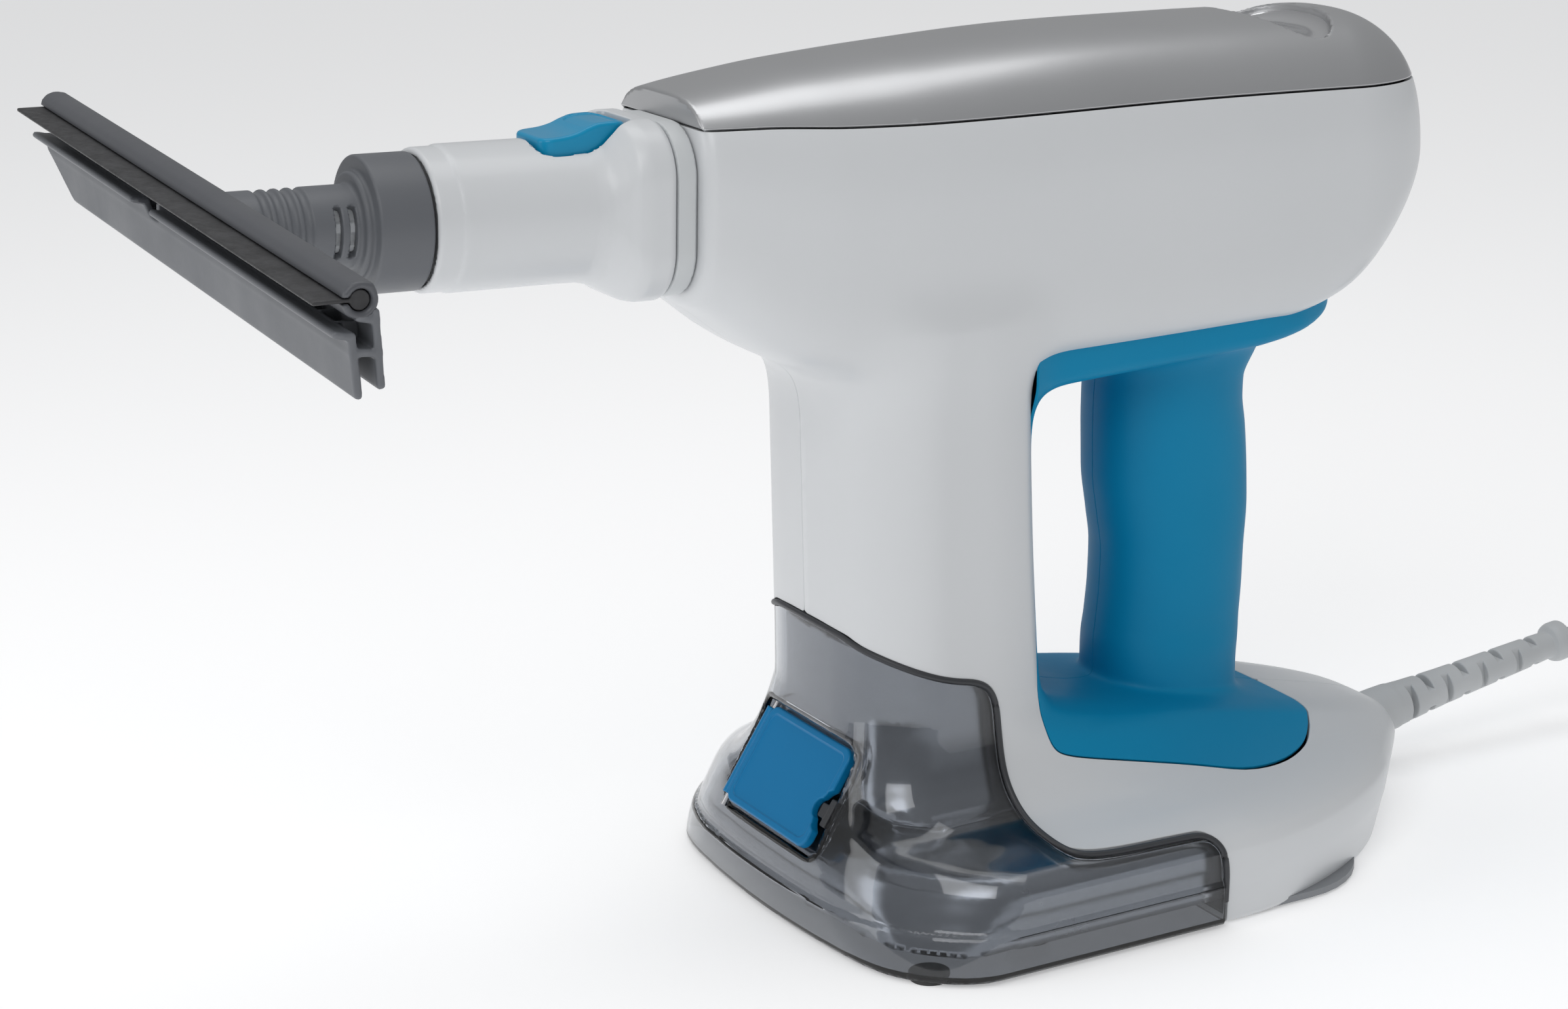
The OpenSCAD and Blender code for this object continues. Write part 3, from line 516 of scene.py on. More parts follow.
# the head's own up and side axes, rolled about the nozzle axis
SIDE_H = np.array([0, 1, 0]) * math.cos(ROLLH) + UPN * math.sin(ROLLH)
UP_H = UPN * math.cos(ROLLH) - np.array([0, 1, 0]) * math.sin(ROLLH)
HEAD = (NOSE, np.array([UP_H, SIDE_H, FWD]))
LEAN = math.radians(56)
CAP = (np.array([-20.0, 0, 48.0]), np.array([[math.cos(LEAN), 0, math.sin(LEAN)], [0, 1, 0],
                                            [-math.sin(LEAN), 0, math.cos(LEAN)]]))
REL = math.radians(8)
RELIEF = (np.array([237.5, 0, 22]), np.array([[math.sin(REL), 0, -math.cos(REL)], [0, 1, 0],
                                             [math.cos(REL), 0, math.sin(REL)]]))

# ------------------------------------------------------------------ cord (the first piece made)
ROUTE = [[335, 0, 36], [345, 0, 37], [355, 0, 37], [365, -1, 35.5], [375, -2, 32.5], [385, -4, 28.5],
         [395, -6, 23.5], [405, -8, 18.5], [415, -10, 14], [425, -12, 10], [435, -14, 7], [445, -15.5, 5],
         [455, -16.7, 4], [465, -17.5, 3.7], [475, -18, 3.7], [485, -18, 3.7]]
CORD_D = 7.0
COIL = (495.0, 40.0)
ROWS, OUTER = 4, 58.0
LAY_Z = 3.7
PLUG_AT = np.array([COIL[0] + OUTER + 5, 78.0, 18.8])


def coil_path():
    """Flat rows of rings stacked up, then the end led over to the plug."""
    pts = []
    steps = 28
    radii = [OUTER - CORD_D * i for i in range(ROWS)]
    plan = []
    for layer in range(ROWS):
        order = radii if layer % 2 == 0 else radii[::-1]
        plan += [(r, LAY_Z + CORD_D * layer) for r in order]
    for i, (r, z) in enumerate(plan):
        nr, nz = plan[i + 1] if i + 1 < len(plan) else (r, z)
        for s in range(steps):
            t = s / steps
            u = min(1.0, max(0.0, (t - 0.72) / 0.28))
            u = u * u * (3 - 2 * u)
            a = -math.pi / 2 + 2 * math.pi * t
            rr, zz = r + (nr - r) * u, z + (nz - z) * u
            pts.append([COIL[0] + rr * math.cos(a), COIL[1] + rr * math.sin(a), zz])
    r, z = plan[-1]
    for s in range(0, 8):
        a = -math.pi / 2 + (math.pi / 2) * s / 7
        pts.append([COIL[0] + r * math.cos(a), COIL[1] + r * math.sin(a), z])
    ease = [(t, t * t * (3 - 2 * t)) for t in np.linspace(0, 1, 9)[1:]]
    start = np.array([COIL[0] + r, COIL[1], z])
    return pts + [list(start + (PLUG_AT - start) * [u, t, u]) for t, u in ease]


cord_pts = ROUTE + coil_path()
curve = bpy.data.curves.new("mains_lead", "CURVE")
curve.dimensions = "3D"
curve.bevel_depth = CORD_D * MM / 2
curve.bevel_resolution = 4
curve.use_fill_caps = True
sp = curve.splines.new("POLY")
sp.points.add(len(cord_pts) - 1)
for i, p in enumerate(cord_pts):
    sp.points[i].co = (p[0] * MM, p[1] * MM, p[2] * MM, 1)
sp.use_smooth = True
curve.materials.append(CORD)
lead = bpy.data.objects.new("mains_lead", curve)
bpy.context.scene.collection.objects.link(lead)
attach(lead, "body")
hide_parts("power_cord", "cord_coil", "cord_tail")


# ------------------------------------------------------------------ the body as one implicit shape
XS = [-70, -62, -40, -16, 20, 77, 140, 190, 212, 240]
W_ = hermite(XS, [32.5, 35.5, 41, 45.5, 49, 50, 50, 49.0, 48, 46.5])
ZB = hermite([-70, -62, -40, -28, -16, 0, 20, 77, 190, 240],
             [230.5, 226.5, 210, 203, 199.5, 197.3, 196.5, 196, 197, 200])
ZT = hermite(XS, [295.5, 297.2, 300.5, 303, 305, 306.6, 305.2, 303.3, 302.4, 301])
ET = hermite([-70, -30, 10, 240], [3.4, 2.9, 2.7, 2.7])
EB = hermite([-70, -30, 10, 240], [3.6, 4.6, 6.0, 6.0])


def superellipse(a, b, e, ha, hb, least):
    """Distance to a ** e + b ** e = 1, with a and b in units of the half sizes ha and hb."""
    s = np.maximum(a ** e + b ** e, 1e-9)
    F = s ** (1 / e)
    k = F / s
    g = np.hypot(a ** (e - 1) * k / ha, b ** (e - 1) * k / hb)
    return (F - 1) / np.maximum(g, least)


def section(x, y, z):
    """Cross sections of the upper body along x."""
    w, zb, zt = W_(x), ZB(x), ZT(x)
    zc = (zb + zt) / 2
    top = z > zc
    h = np.where(top, zt - zc, zc - zb)
    e = np.where(top, ET(x), EB(x))
    return superellipse(np.abs(y) / w, np.abs(z - zc) / h, e, w, h, 0.012)


def upper(x, y, z, front=4.0):
    """Upper body: the sections, the front face, the domed rear and the slope under it."""
    d = section(x, y, z)
    s = (x - NOSE[0]) * FWD[0] + (z - NOSE[2]) * FWD[2]
    d = rmax(d, s, front)
    cap = (x - 238) + y * y / 124 + (z - 252) ** 2 / 230
    cap = cap / np.sqrt(1 + (y / 62) ** 2 + ((z - 252) / 115) ** 2)
    d = rmax(d, cap, 22)
    heel = 0.628 * (x - 204) - 0.778 * (z - 212.5) + (y * y - 1600) / 480
    return rmax(d, heel, 16)


# the column by height: front, half width, where the sides turn in, rear, rear half width, corner radii, bow
COLUMN_TOP = 215
REAR_R = 12
ZL = [0, 14, 20, 27, 32, 35, 37.5, 40, 43, 47, 52, 58, 64, 72, 80, 103, 156, COLUMN_TOP]
T_XF = hermite(ZL, [-31.4, -33, -33, -31.4, -29.8, -28.6, -27.4, -26.2, -24.2, -22, -19.4, -17, -15.2,
                    -13.8, -13.2, -13, -13, -13])
T_HW = hermite(ZL, [98.5, 99.3, 99.6, 99.2, 96.5, 91.5, 84, 75, 67.5, 61.5, 57, 54, 52.4, 51, 50.4, 50,
                    50, 50])
T_XS = hermite(ZL, [138, 141, 143, 144, 143, 141, 138, 134, 128, 116, 100, 82, 66, 54, 50, 49.5, 49, 48.5])
T_XT = hermite(ZL, [227.5, 231.5, 233, 234, 232, 227, 220, 211, 199, 182, 158, 128, 92, 70, 66, 64.2,
                    62.4, 61.8])
T_TW = hermite(ZL, [21, 22, 22, 22, 21, 22, 24, 27, 30, 33, 34, 34, 34, 35, 36, 36, 36, 36])
T_R1 = hermite(ZL, [27, 34, 40, 43, 42, 39, 35, 31, 28, 26, 25, 24, 23, 22, 22, 22, 22, 22])
T_R2 = hermite(ZL, [40, 40, 40, 40, 40, 39, 38, 36, 33, 29, 24, 17, 13, 12, 12, 12, 12, 12])
T_BOW = hermite([0, 40, 60, 80, COLUMN_TOP], [0.0011, 0.0011, 0.0018, 0.0030, 0.0032])
ZSL = np.linspace(0, COLUMN_TOP, COLUMN_TOP + 1)
SLOPE = np.abs(np.gradient(T_HW(ZSL), ZSL))
# the flat facet on each front corner of the tank: its normal, its distance, its top and its edge radius
FACET_N = (-0.695, 0.544, 0.471)
FACET_D = 65.0
FACET_TOP = 76.0
FACET_R = 12.0


def tower(x, y, z):
    """Base, tank and column."""
    zz = np.clip(z, 0, COLUMN_TOP)
    ay = np.abs(y)
    xs, xt, hw, tw = T_XS(zz) + 0.7 * (T_R2(zz) - REAR_R), T_XT(zz), T_HW(zz), T_TW(zz)
    a1 = T_XF(zz) - x + T_BOW(zz) * y * y
    a2 = ay - hw
    nx, ny = hw - tw, xt - xs
    ln = np.hypot(nx, ny)
    a3 = (nx * (x - xs) + ny * (ay - hw)) / ln
    a4 = x - xt + 0.002 * y * y
    d = rmax(rmax(rmax(a1, a2, T_R1(zz)), a3, T_R2(zz)), a4, 8.0)
    facet = FACET_N[0] * x + FACET_N[1] * ay + FACET_N[2] * np.minimum(z, FACET_TOP) - FACET_D
    d = rmax(d, facet, FACET_R)
    d = d / np.sqrt(1 + np.interp(zz, ZSL, SLOPE) ** 2)
    return rmax(d, np.maximum(1.0 - z, z - COLUMN_TOP), 1.6)


G_X0 = hermite([30, 76, 84, 97, 111, 124, 141, 155, 168, 182, 205],
               [112, 112.5, 113.5, 115, 115.6, 114, 112, 112, 112.4, 114, 114])
G_X1 = hermite([30, 63, 78, 92, 107, 125, 136, 154, 165, 172, 183, 205],
               [161, 161.5, 163, 164.3, 165, 166.4, 166.2, 165, 163.6, 163.8, 168, 170])
G_HW = hermite([30, 70, 84, 110, 150, 180, 205], [22, 21.5, 20, 20, 20.3, 20.6, 22])


def grip(x, y, z):
    x0, x1, hw = G_X0(z), G_X1(z), G_HW(z)
    c, rx = (x0 + x1) / 2, (x1 - x0) / 2
    d = superellipse(np.abs(x - c) / rx, np.abs(y) / hw, 2.35, rx, hw, 0.03)
    return np.maximum(d, np.maximum(45 - z, z - 200))


FL_W = hermite([50, 150, 170, 184, 192, 198], [41.5, 41.5, 39.5, 34, 27, 12])
FL_Z = hermite([50, 70, 90, 110, 140, 160, 176, 190, 196],
               [186.4, 186.6, 187.2, 187.8, 188.8, 190, 192.2, 195.6, 198])


def flange(x, y, z):
    under = FL_Z(x) - z
    side = np.abs(y) - FL_W(x)
    d = rmax(under, side, 4.0)
    d = np.maximum(d, z - 204)
    return np.maximum(d, 52 - x)


def white_f(x, y, z):
    return smin(upper(x, y, z), tower(x, y, z), 26)


def blue_f(x, y, z):
    d = smin(tower(x, y, z), grip(x, y, z), 22)
    return smin(d, smin(flange(x, y, z), grip(x, y, z), 20), 26)


# side-view outlines
SADDLE = smooth_line([[56.6, 205], [55.6, 186], [56.2, 165], [57.2, 130], [57.6, 100], [56.6, 80],
                      [55.6, 70], [56, 63.5], [58.2, 59], [63, 56.4], [74, 53.4], [91, 49.6], [113, 45],
                      [130, 41.6], [146, 40.4], [160, 40.6], [170, 41.8], [178, 44.6], [184, 50],
                      [188, 60]], 3)
BLUE_OUT = np.vstack([SADDLE, [[230, 70], [230, 205]]])
TANK_TOP = smooth_line([[-60, 108.4], [-20, 108.2], [-12.6, 106.4], [-8.8, 102.8], [-3.6, 99.8],
                        [2.7, 96.8], [10.2, 93.8], [19, 91], [26.5, 89.2], [31.6, 86.2], [34.4, 80.6],
                        [35, 72], [35, 58], [35.4, 48], [36.4, 41.4], [39.6, 37.2], [46, 35.4],
                        [59, 34.6], [84, 34.2], [92.6, 33.6], [96.6, 30], [97.8, 24], [98, 15],
                        [98, -6]], 3)
TANK_OUT = np.vstack([TANK_TOP, [[-60, -6]]])
COVER_Z = hermite([-80, -63, -41, -12, 18, 112, 213, 260],
                  [288.6, 287.9, 287.2, 285.2, 284.0, 282.4, 278.6, 276.4])
GAP = 0.22


def over_cover(x, y, z):
    return z - COVER_Z(x)


def in_tank(x, y, z):
    return -poly_dist(x, z, TANK_OUT)


def in_blue(x, y, z):
    return -poly_dist(x, z, BLUE_OUT)


white_base = nets(white_f, (-72, -106, -4), (246, 106, 312), 1.9)
FRONT_HOLE_R = 18.0
RELIEF_HOLE_R = 8.6


def opening_front(x, y, z):
    """Clear of the round opening in the front face."""
    u = (x - NOSE[0]) * UPN[0] + (z - NOSE[2]) * UPN[2]
    s = (x - NOSE[0]) * FWD[0] + (z - NOSE[2]) * FWD[2]
    return np.where(s > -8, np.hypot(u, y) - FRONT_HOLE_R, 50.0)


def relief_clear(x, y, z):
    """Clear of the hole the strain relief comes out of."""
    a, b = x - RELIEF[0][0], z - RELIEF[0][2]
    r = np.hypot(-a * math.sin(REL) + b * math.cos(REL), y)
    return np.where(x > 200, r - RELIEF_HOLE_R, 50.0)


def white_region(side):
    def g(x, y, z):
        d = np.minimum(side * y - 0.06, -over_cover(x, y, z) - 0.35)
        d = np.minimum(d, -in_tank(x, y, z) - 1.0)
        d = np.minimum(d, np.where(z < 195.5, -in_blue(x, y, z) - GAP, 50))
        d = np.minimum(d, opening_front(x, y, z))
        return np.minimum(d, relief_clear(x, y, z))
    return g


for side, label in ((-1, "near"), (1, "far")):
    skin("shell_" + label, white_base, white_f, white_region(side), WHITE, "body",
         ("housing_" + label,), lip=0.35, depth=2.6, half=side)

# blue skin: saddle, strip up the column, flange and grip
blue_base = nets(blue_f, (48, -72, 36), (204, 72, 210), 1.6)


def paddle(x, y, z):
    """Inside the outline of the trigger in the palm side of the grip."""
    half_width, half_length, middle = 10.8, 47.0, 127.0
    zz = np.abs(z - middle) - (half_length - half_width)
    d = np.hypot(np.maximum(zz, 0), y) - half_width
    return np.where(x > 150, -d, -50)


def paddle_region(x, y, z):
    return np.minimum(paddle(x, y, z) - 0.28, z * 0 + 60)


def blue_region(side):
    def g(x, y, z):
        d = np.minimum(side * y - 0.05, in_blue(x, y, z) - GAP)
        d = np.minimum(d, upper(x, y, z) + 0.6)
        return np.minimum(d, -paddle(x, y, z) - 0.28)
    return g


for side, label in ((-1, "near"), (1, "far")):
    skin("grip_skin_" + label, blue_base, blue_f, blue_region(side), BLUE, "body",
         ("grip_" + label,), lip=0.30, depth=1.0, half=side)
skin("trigger_paddle", blue_base, blue_f, paddle_region, TRIGGER, "trigger",
     ("steam_trigger",), lip=0.45, depth=5.0, inner=True)


# silver cover with its scoop
def scoop_rim(x, y, z):
    return (np.hypot((x - 181.5) / 17.0, y / 31.5) - 1) * 17.0


def cover_f(x, y, z):
    d = upper(x, y, z, 0.9)
    deep = 7.5
    pocket = rmax(scoop_rim(x, y, z), -(d + deep), 6.0)
    return rmax(d, -pocket, 0.9)


def cover_region(x, y, z):
    return np.minimum(over_cover(x, y, z) - 0.35, scoop_rim(x, y, z) + 0.3)


def scoop_region(x, y, z):
    return np.minimum(-scoop_rim(x, y, z) - 0.1, over_cover(x, y, z))


cover_base = nets(cover_f, (-72, -54, 268), (246, 54, 312), 1.3)
skin("top_cover_skin", cover_base, cover_f, cover_region, SILVER, "body",
     ("top_cover",), lip=0.5, depth=2.2)
skin("scoop_skin", cover_base, cover_f, scoop_region, SCOOP, "body",
     ("thumb_recess",), lip=0.2, depth=1.0)


# ------------------------------------------------------------------ tank
def cap_local(x, y, z):
    o, ax = CAP
    p = np.stack([x - o[0], y - o[1], z - o[2]], 0)
    return ax[0] @ p.reshape(3, -1), y, ax[2] @ p.reshape(3, -1)


def rbox2(a, b, ha, hb, r):
    qa, qb = np.abs(a) - ha + r, np.abs(b) - hb + r
    return np.hypot(np.maximum(qa, 0), np.maximum(qb, 0)) + np.minimum(np.maximum(qa, qb), 0) - r


def tank_f(x, y, z):
    d = tower(x, y, z)
    cx, cy, cz = cap_local(x, y, z)
    # flanged foot round the front
    foot = rmax(tower(x, y, z) - 1.8, np.abs(z - 9) - 8.0, 1.6)
    d = smin(d, foot, 2.0)
    pocket = rmax(rbox2(cx, cy - 1.5, 20.6, 33.6, 5.0), -4.6 - cz, 1.6)
    pocket = np.maximum(pocket, cz - 14)
    return rmax(d, -pocket, 1.3)


tank_base = nets(tank_f, (-42, -108, -3), (104, 108, 110), 1.7)
skin("tank_shell", tank_base, tank_f, lambda x, y, z: in_tank(x, y, z) - 0.8, SMOKE, "body",
     ("water_tank",), lip=0.5, depth=2.4, inner=True)


def liner_f(x, y, z):
    d = tower(x, y, z) + 6.5
    d = np.maximum(d, 6 - z)
    return np.maximum(d, z - 101)


solid("tank_core", liner_f, (-40, -100, 2), (150, 100, 106), 2.4, LINER, "body")


def on_surface(x, z):
    """Half width of the shell at a side-view point."""
    lo, hi = np.full(x.shape, 0.0), np.full(x.shape, 112.0)
    for _ in range(30):
        mid = (lo + hi) / 2
        inside = tower(x, mid, z) < 0
        lo, hi = np.where(inside, mid, lo), np.where(inside, hi, mid)
    return (lo + hi) / 2


def tube(name, pts, r, mat, body, replaces=(), n=12):
    """Round bead along a line of points."""
    p = np.asarray(pts, float)
    t = unit(np.gradient(p, axis=0))
    ref = np.array([0.0, 0.0, 1.0])
    s = unit(np.cross(t, ref))
    keep = s[0]
    for i in range(len(s)):
        if np.linalg.norm(np.cross(t[i], ref)) < 0.2:
            s[i] = keep - (keep @ t[i]) * t[i]
            s[i] /= np.linalg.norm(s[i])
        keep = s[i]
    u = np.cross(s, t)
    a = np.linspace(0, 2 * np.pi, n, endpoint=False)
    nrm = np.cos(a)[None, :, None] * s[:, None] + np.sin(a)[None, :, None] * u[:, None]
    v = (p[:, None] + r * nrm).reshape(-1, 3)
    faces = []
    for i in range(len(p) - 1):
        for k in range(n):
            j = (k + 1) % n
            faces.append([i * n + k, i * n + j, (i + 1) * n + j, (i + 1) * n + k])
    faces.append(list(range(n - 1, -1, -1)))
    faces.append([(len(p) - 1) * n + k for k in range(n)])
    return add(name, v, faces, mat, body, replaces)


# dark bead along the rim of the tank
RIM = TANK_TOP[:60]
turn = np.radians(np.linspace(180, 112, 26))
front = []
for a in turn:
    lo, hi = 0.0, 120.0
    for _ in range(30):
        mid = (lo + hi) / 2
        x = 24 + mid * math.cos(a)
        q = [np.array([v]) for v in (x, mid * math.sin(a), np.interp(x, RIM[:, 0], RIM[:, 1]))]
        if tower(*q)[0] < 0:
            lo = mid
        else:
            hi = mid
    x = 24 + lo * math.cos(a)
    front.append([x, lo * math.sin(a), np.interp(x, RIM[:, 0], RIM[:, 1])])
edge_line = TANK_TOP[(TANK_TOP[:, 0] > front[-1][0] + 1.5) & (TANK_TOP[:, 1] > 2.0)]
sides = np.stack([edge_line[:, 0], on_surface(edge_line[:, 0], edge_line[:, 1]), edge_line[:, 1]], 1)
bead = np.vstack([front, sides])
seg = np.concatenate([[0], np.cumsum(np.linalg.norm(np.diff(bead, axis=0), axis=1))])
at = np.arange(0, seg[-1], 1.6)
bead = np.stack([np.interp(at, seg, bead[:, i]) for i in range(3)], 1)
for _ in range(3):
    bead[1:-1] = (bead[:-2] + 2 * bead[1:-1] + bead[2:]) / 4
whole = np.vstack([(bead * [1, -1, 1])[::-1][:-1], bead])
tube("tank_bead", whole, 1.15, SEAL, "body", ("tank_gasket",))


# ------------------------------------------------------------------ filler cap
def cap_f(u, v, w):
    d = rmax(rbox2(u, v, 19.2, 29.2, 4.5), np.abs(w + 0.2) - 1.9, 0.9)
    lift = rmax(rbox2(u, v, 16.6, 26.6, 3.5), -(w - 1.15), 0.5)
    d = rmax(d, -np.maximum(lift, w - 6), 0.35)
    notch = np.hypot(u + 4, v + 33) - 8.6
    bite = np.minimum(notch, np.hypot(u + 4, v + 26.0) - 3.6)
    d = rmax(d, -bite, 0.6)
    return smin(d, np.maximum(np.hypot(v - 31, w + 1) - 2.7, np.abs(u) - 17.5), 0.8)


solid("cap_plate", cap_f, (-23, -33, -5), (23, 37, 5), 0.55, CAPBLUE, "filler_cap",
      ("filler_cap",), world=CAP)


def latch_f(u, v, w):
    d = rmax(rbox2(u + 4, v + 30.6, 5.2, 1.7, 0.6), np.abs(w + 2.4) - 2.2, 0.5)
    hook = rmax(rbox2(u + 4, v + 27.6, 2.6, 2.4, 0.8), np.abs(w + 0.9) - 0.8, 0.4)
    return smin(d, hook, 0.8)


solid("cap_hook", latch_f, (-14, -36, -6), (6, -22, 2), 0.45, DARKER, "body",
      ("cap_latch",), world=CAP)


# ------------------------------------------------------------------ adaptor
A_H = hermite([0, 16, 20, 24, 29, 34, 44, 100], [30, 30, 29.4, 27.2, 24.9, 24.1, 24, 24])
A_R = hermite([0, 16, 20, 24, 29, 34, 44, 100], [18.5, 18.5, 19.5, 21.5, 23.6, 24.0, 24, 24])


def adaptor_f(u, v, w):
    band = 0.55 / (1 + np.exp(-(w - 79.2) / 0.28))
    d = rbox2(u, v, A_H(w), A_H(w), np.minimum(A_R(w), A_H(w) - 0.01)) + band
    d = rmax(d, 7.6 - w, 3.0)
    d = rmax(d, w - 88, 1.4)
    bore = rmax(np.hypot(u, v) - 20.9, 86.0 - w, 0.5)
    d = rmax(d, -bore, 0.6)
    slot_ = rmax(rbox2(v, w - 32.2, 12.9, 16.8, 5.0), 14.6 - u, 1.0)
    return rmax(d, -slot_, 0.5)


solid("adaptor_barrel", adaptor_f, (-32, -32, 5), (32, 32, 90), 1.0, WHITE, "adaptor",
      ("adaptor_shell",), world=NOZZLE)


def ring_f(u, v, w):
    d = rmax(rbox2(u, v, 29.0, 29.0, 18.0), np.abs(w - 3.9) - 3.4, 0.7)
    return rmax(d, 20.0 - np.hypot(u, v), 0.5)


solid("adaptor_ring", ring_f, (-31, -31, -1), (31, 31, 9), 1.0, COLLAR, "adaptor",
      ("adaptor_collar",), world=NOZZLE)

B_TOP = hermite([15, 19, 22, 27, 31, 35, 39, 43, 49], [28.6, 29.3, 29.7, 29.5, 28.4, 26.8, 25.9, 25.5, 25.1])


def button_f(u, v, w):
    d = rmax(rbox2(v, w - 32.4, 12.0, 15.4, 4.6), u - B_TOP(w), 1.3)
    d = rmax(d, 18.0 - u, 0.8)
    hollow = rmax(rbox2(v, w - 32.4, 9.0, 12.4, 3.0), u - 21.6, 0.6)
    d = rmax(d, -hollow, 0.3)
    pad = rmax(rbox2(v, w - 25.2, 9.4, 6.4, 3.4), -(u - B_TOP(w) + 0.45), 0.3)
    return rmax(d, -pad, 0.35)


solid("button_pad", button_f, (15, -14, 15), (32, 14, 50), 0.5, BUTTON, "button",
      ("release_button",), world=NOZZLE)


# ------------------------------------------------------------------ cup and neck
def cup_f(u, v, w):
    r = np.hypot(u, v)
    d = rmax(r - 22.3, np.maximum(88.8 - w, w - 107.0), 1.0)
    d = np.maximum(d, -rmax(r - 19.4, w - 105.5, 0.5))
    ring = rmax(r - 17.2, np.maximum(104 - w, w - 109.6), 1.3)
    d = smin(d, ring, 1.6)
    neck = rmax(r - 13.3, np.maximum(104 - w, w - 156), 0.8)
    for k in range(4):
        neck = smin_cut(neck, np.hypot(r - 13.6, (w - 127.2 - 4.3 * k) * 0.9) - 1.35, 0.5)
    ang = np.degrees(np.arctan2(u, v))
    for k, z0 in enumerate((112.6, 117.4)):
        for a0 in (178, 0):
            da = np.abs((ang - a0 + 180) % 360 - 180)
            arc = rmax((da - 40) * 0.22, np.abs(w - z0) - 1.15, 1.1)
            neck = rmax(neck, -np.maximum(arc, 8.5 - r), 0.35)
    d = smin(d, neck, 2.0)
    return rmax(d, -rmax(r - 10.3, 106 - w, 0.4), 0.3)


def smin_cut(a, b, k):
    return rmax(a, -b, k)


solid("cup_and_neck", cup_f, (-24, -24, 87), (24, 24, 157), 0.65, DARK, "squeegee",
      ("nozzle_cup",), world=HEAD)


def insert_f(u, v, w):
    r = np.hypot(u, v)
    d = rmax(r - 10.1, np.maximum(106.4 - w, w - 144), 0.5)
    d = rmax(d, 6.3 - r, 0.3)
    ang = np.arctan2(u, v)
    return d - 0.5 * np.clip(np.sin(ang * 9) * 2.2, -1, 1) * np.where(np.abs(w - 115) < 7, 1, 0)


solid("bayonet_insert", insert_f, (-12, -12, 105), (12, 12, 146), 0.8, PALE, "squeegee",
      ("neck_insert",), world=HEAD)


# ------------------------------------------------------------------ squeegee head: sections along its length
HL = 143.0
RIB_PITCH = 13.0


def seg2(a, b, pa, pb, r):
    """Distance to a rounded bar between two section points."""
    ex, ez = pb[0] - pa[0], pb[1] - pa[1]
    wx, wz = a - pa[0], b - pa[1]
    t = np.clip((wx * ex + wz * ez) / (ex * ex + ez * ez), 0, 1)
    return np.hypot(wx - ex * t, wz - ez * t) - r


BEAD = (14.2, 161.2)


def bar_section(u, w):
    d = np.hypot(u - BEAD[0], w - BEAD[1]) - 5.3
    d = smin(d, seg2(u, w, (17.6, 158.6), (17.0, 163.4), 1.35), 2.0)
    d = smin(d, seg2(u, w, (17.0, 163.4), (16.2, 165.2), 0.9), 1.5)
    d = smin(d, seg2(u, w, (9.8, 160.5), (11.2, 164.2), 1.25), 1.5)
    d = rmax(d, -(np.hypot(u - BEAD[0], w - BEAD[1]) - 3.25), 0.3)
    return rmax(d, -(rbox2(u - BEAD[0], w - 170, 0.95, 9.5, 0.3)), 0.3)


def head_bar(u, v, w):
    return rmax(bar_section(u, w), np.abs(v) - HL, 1.2)


solid("squeegee_bar", head_bar, (5, -146, 152), (22, 146, 173), 0.8, BAR, "squeegee",
      ("squeegee_head",), world=HEAD)


def frame_section(u, w):
    front_ = seg2(u, w, (-12.6, 161.8), (4.0, 163.8), 1.25)
    lip_ = seg2(u, w, (4.0, 163.8), (5.0, 168.5), 1.1)
    rear_ = seg2(u, w, (-10.4, 155.2), (10.5, 156.9), 1.25)
    web_ = seg2(u, w, (-1.0, 156.0), (-0.4, 163.0), 1.2)
    top_ = seg2(u, w, (8.4, 157.0), (9.4, 161.5), 1.3)
    d = smin(front_, lip_, 1.2)
    d = smin(d, web_, 1.4)
    d = smin(d, rear_, 1.4)
    return smin(d, top_, 1.4)


def head_frame_f(u, v, w):
    d = rmax(frame_section(u, w), np.abs(v) - HL, 0.9)
    # far lower corner cut back, a notch in the front edge, and cross ribs in the channel
    corner = 0.55 * (v - 118) - (u + 14)
    d = rmax(d, np.where(v > 0, corner * 0.8, -9), 1.0)
    notch = np.maximum(np.hypot((v - 26) / 1.6, (u - 6.5)) - 6.0, 160.5 - w)
    d = rmax(d, -notch, 0.8)
    rib = np.abs((v + HL + RIB_PITCH / 2) % RIB_PITCH - RIB_PITCH / 2) - 0.8
    rib = np.maximum(rib, rbox2(u - 2.6, w - 160.0, 3.0, 3.6, 0.5))
    d = smin(d, np.maximum(rib, np.abs(v) - HL + 1.0), 0.6)
    hub = rmax(np.hypot(u, v) - 13.2, np.abs(w - 154.0) - 4.0, 1.5)
    d = smin(d, hub, 3.0)
    return rmax(d, -np.maximum(np.hypot(u, v) - 9.8, w - 157.5), 0.4)


solid("squeegee_frame", head_frame_f, (-17, -146, 147), (14, 146, 172), 0.9, DARK,
      "squeegee", ("squeegee_head",), world=HEAD)


def blade_f(u, v, w):
    d = np.hypot(u - BEAD[0], w - BEAD[1]) - 3.0
    flap = seg2(u, w, (BEAD[0], BEAD[1]), (BEAD[0] - 0.1, 174.4), 0.62)
    d = smin(d, flap, 0.8)
    return rmax(d, np.abs(v) - HL + 1.2, 0.3)


solid("squeegee_wiper", blade_f, (9, -146, 156), (20, 146, 177), 0.62, BLADE, "squeegee",
      ("squeegee_blade",), world=HEAD)


# ------------------------------------------------------------------ strain relief and plug
R_R = hermite([-12, 0, 10, 12, 86, 90, 91.5, 94, 98], [9.4, 9.4, 9.2, 8.8, 5.7, 5.5, 7.4, 8.1, 8.0])


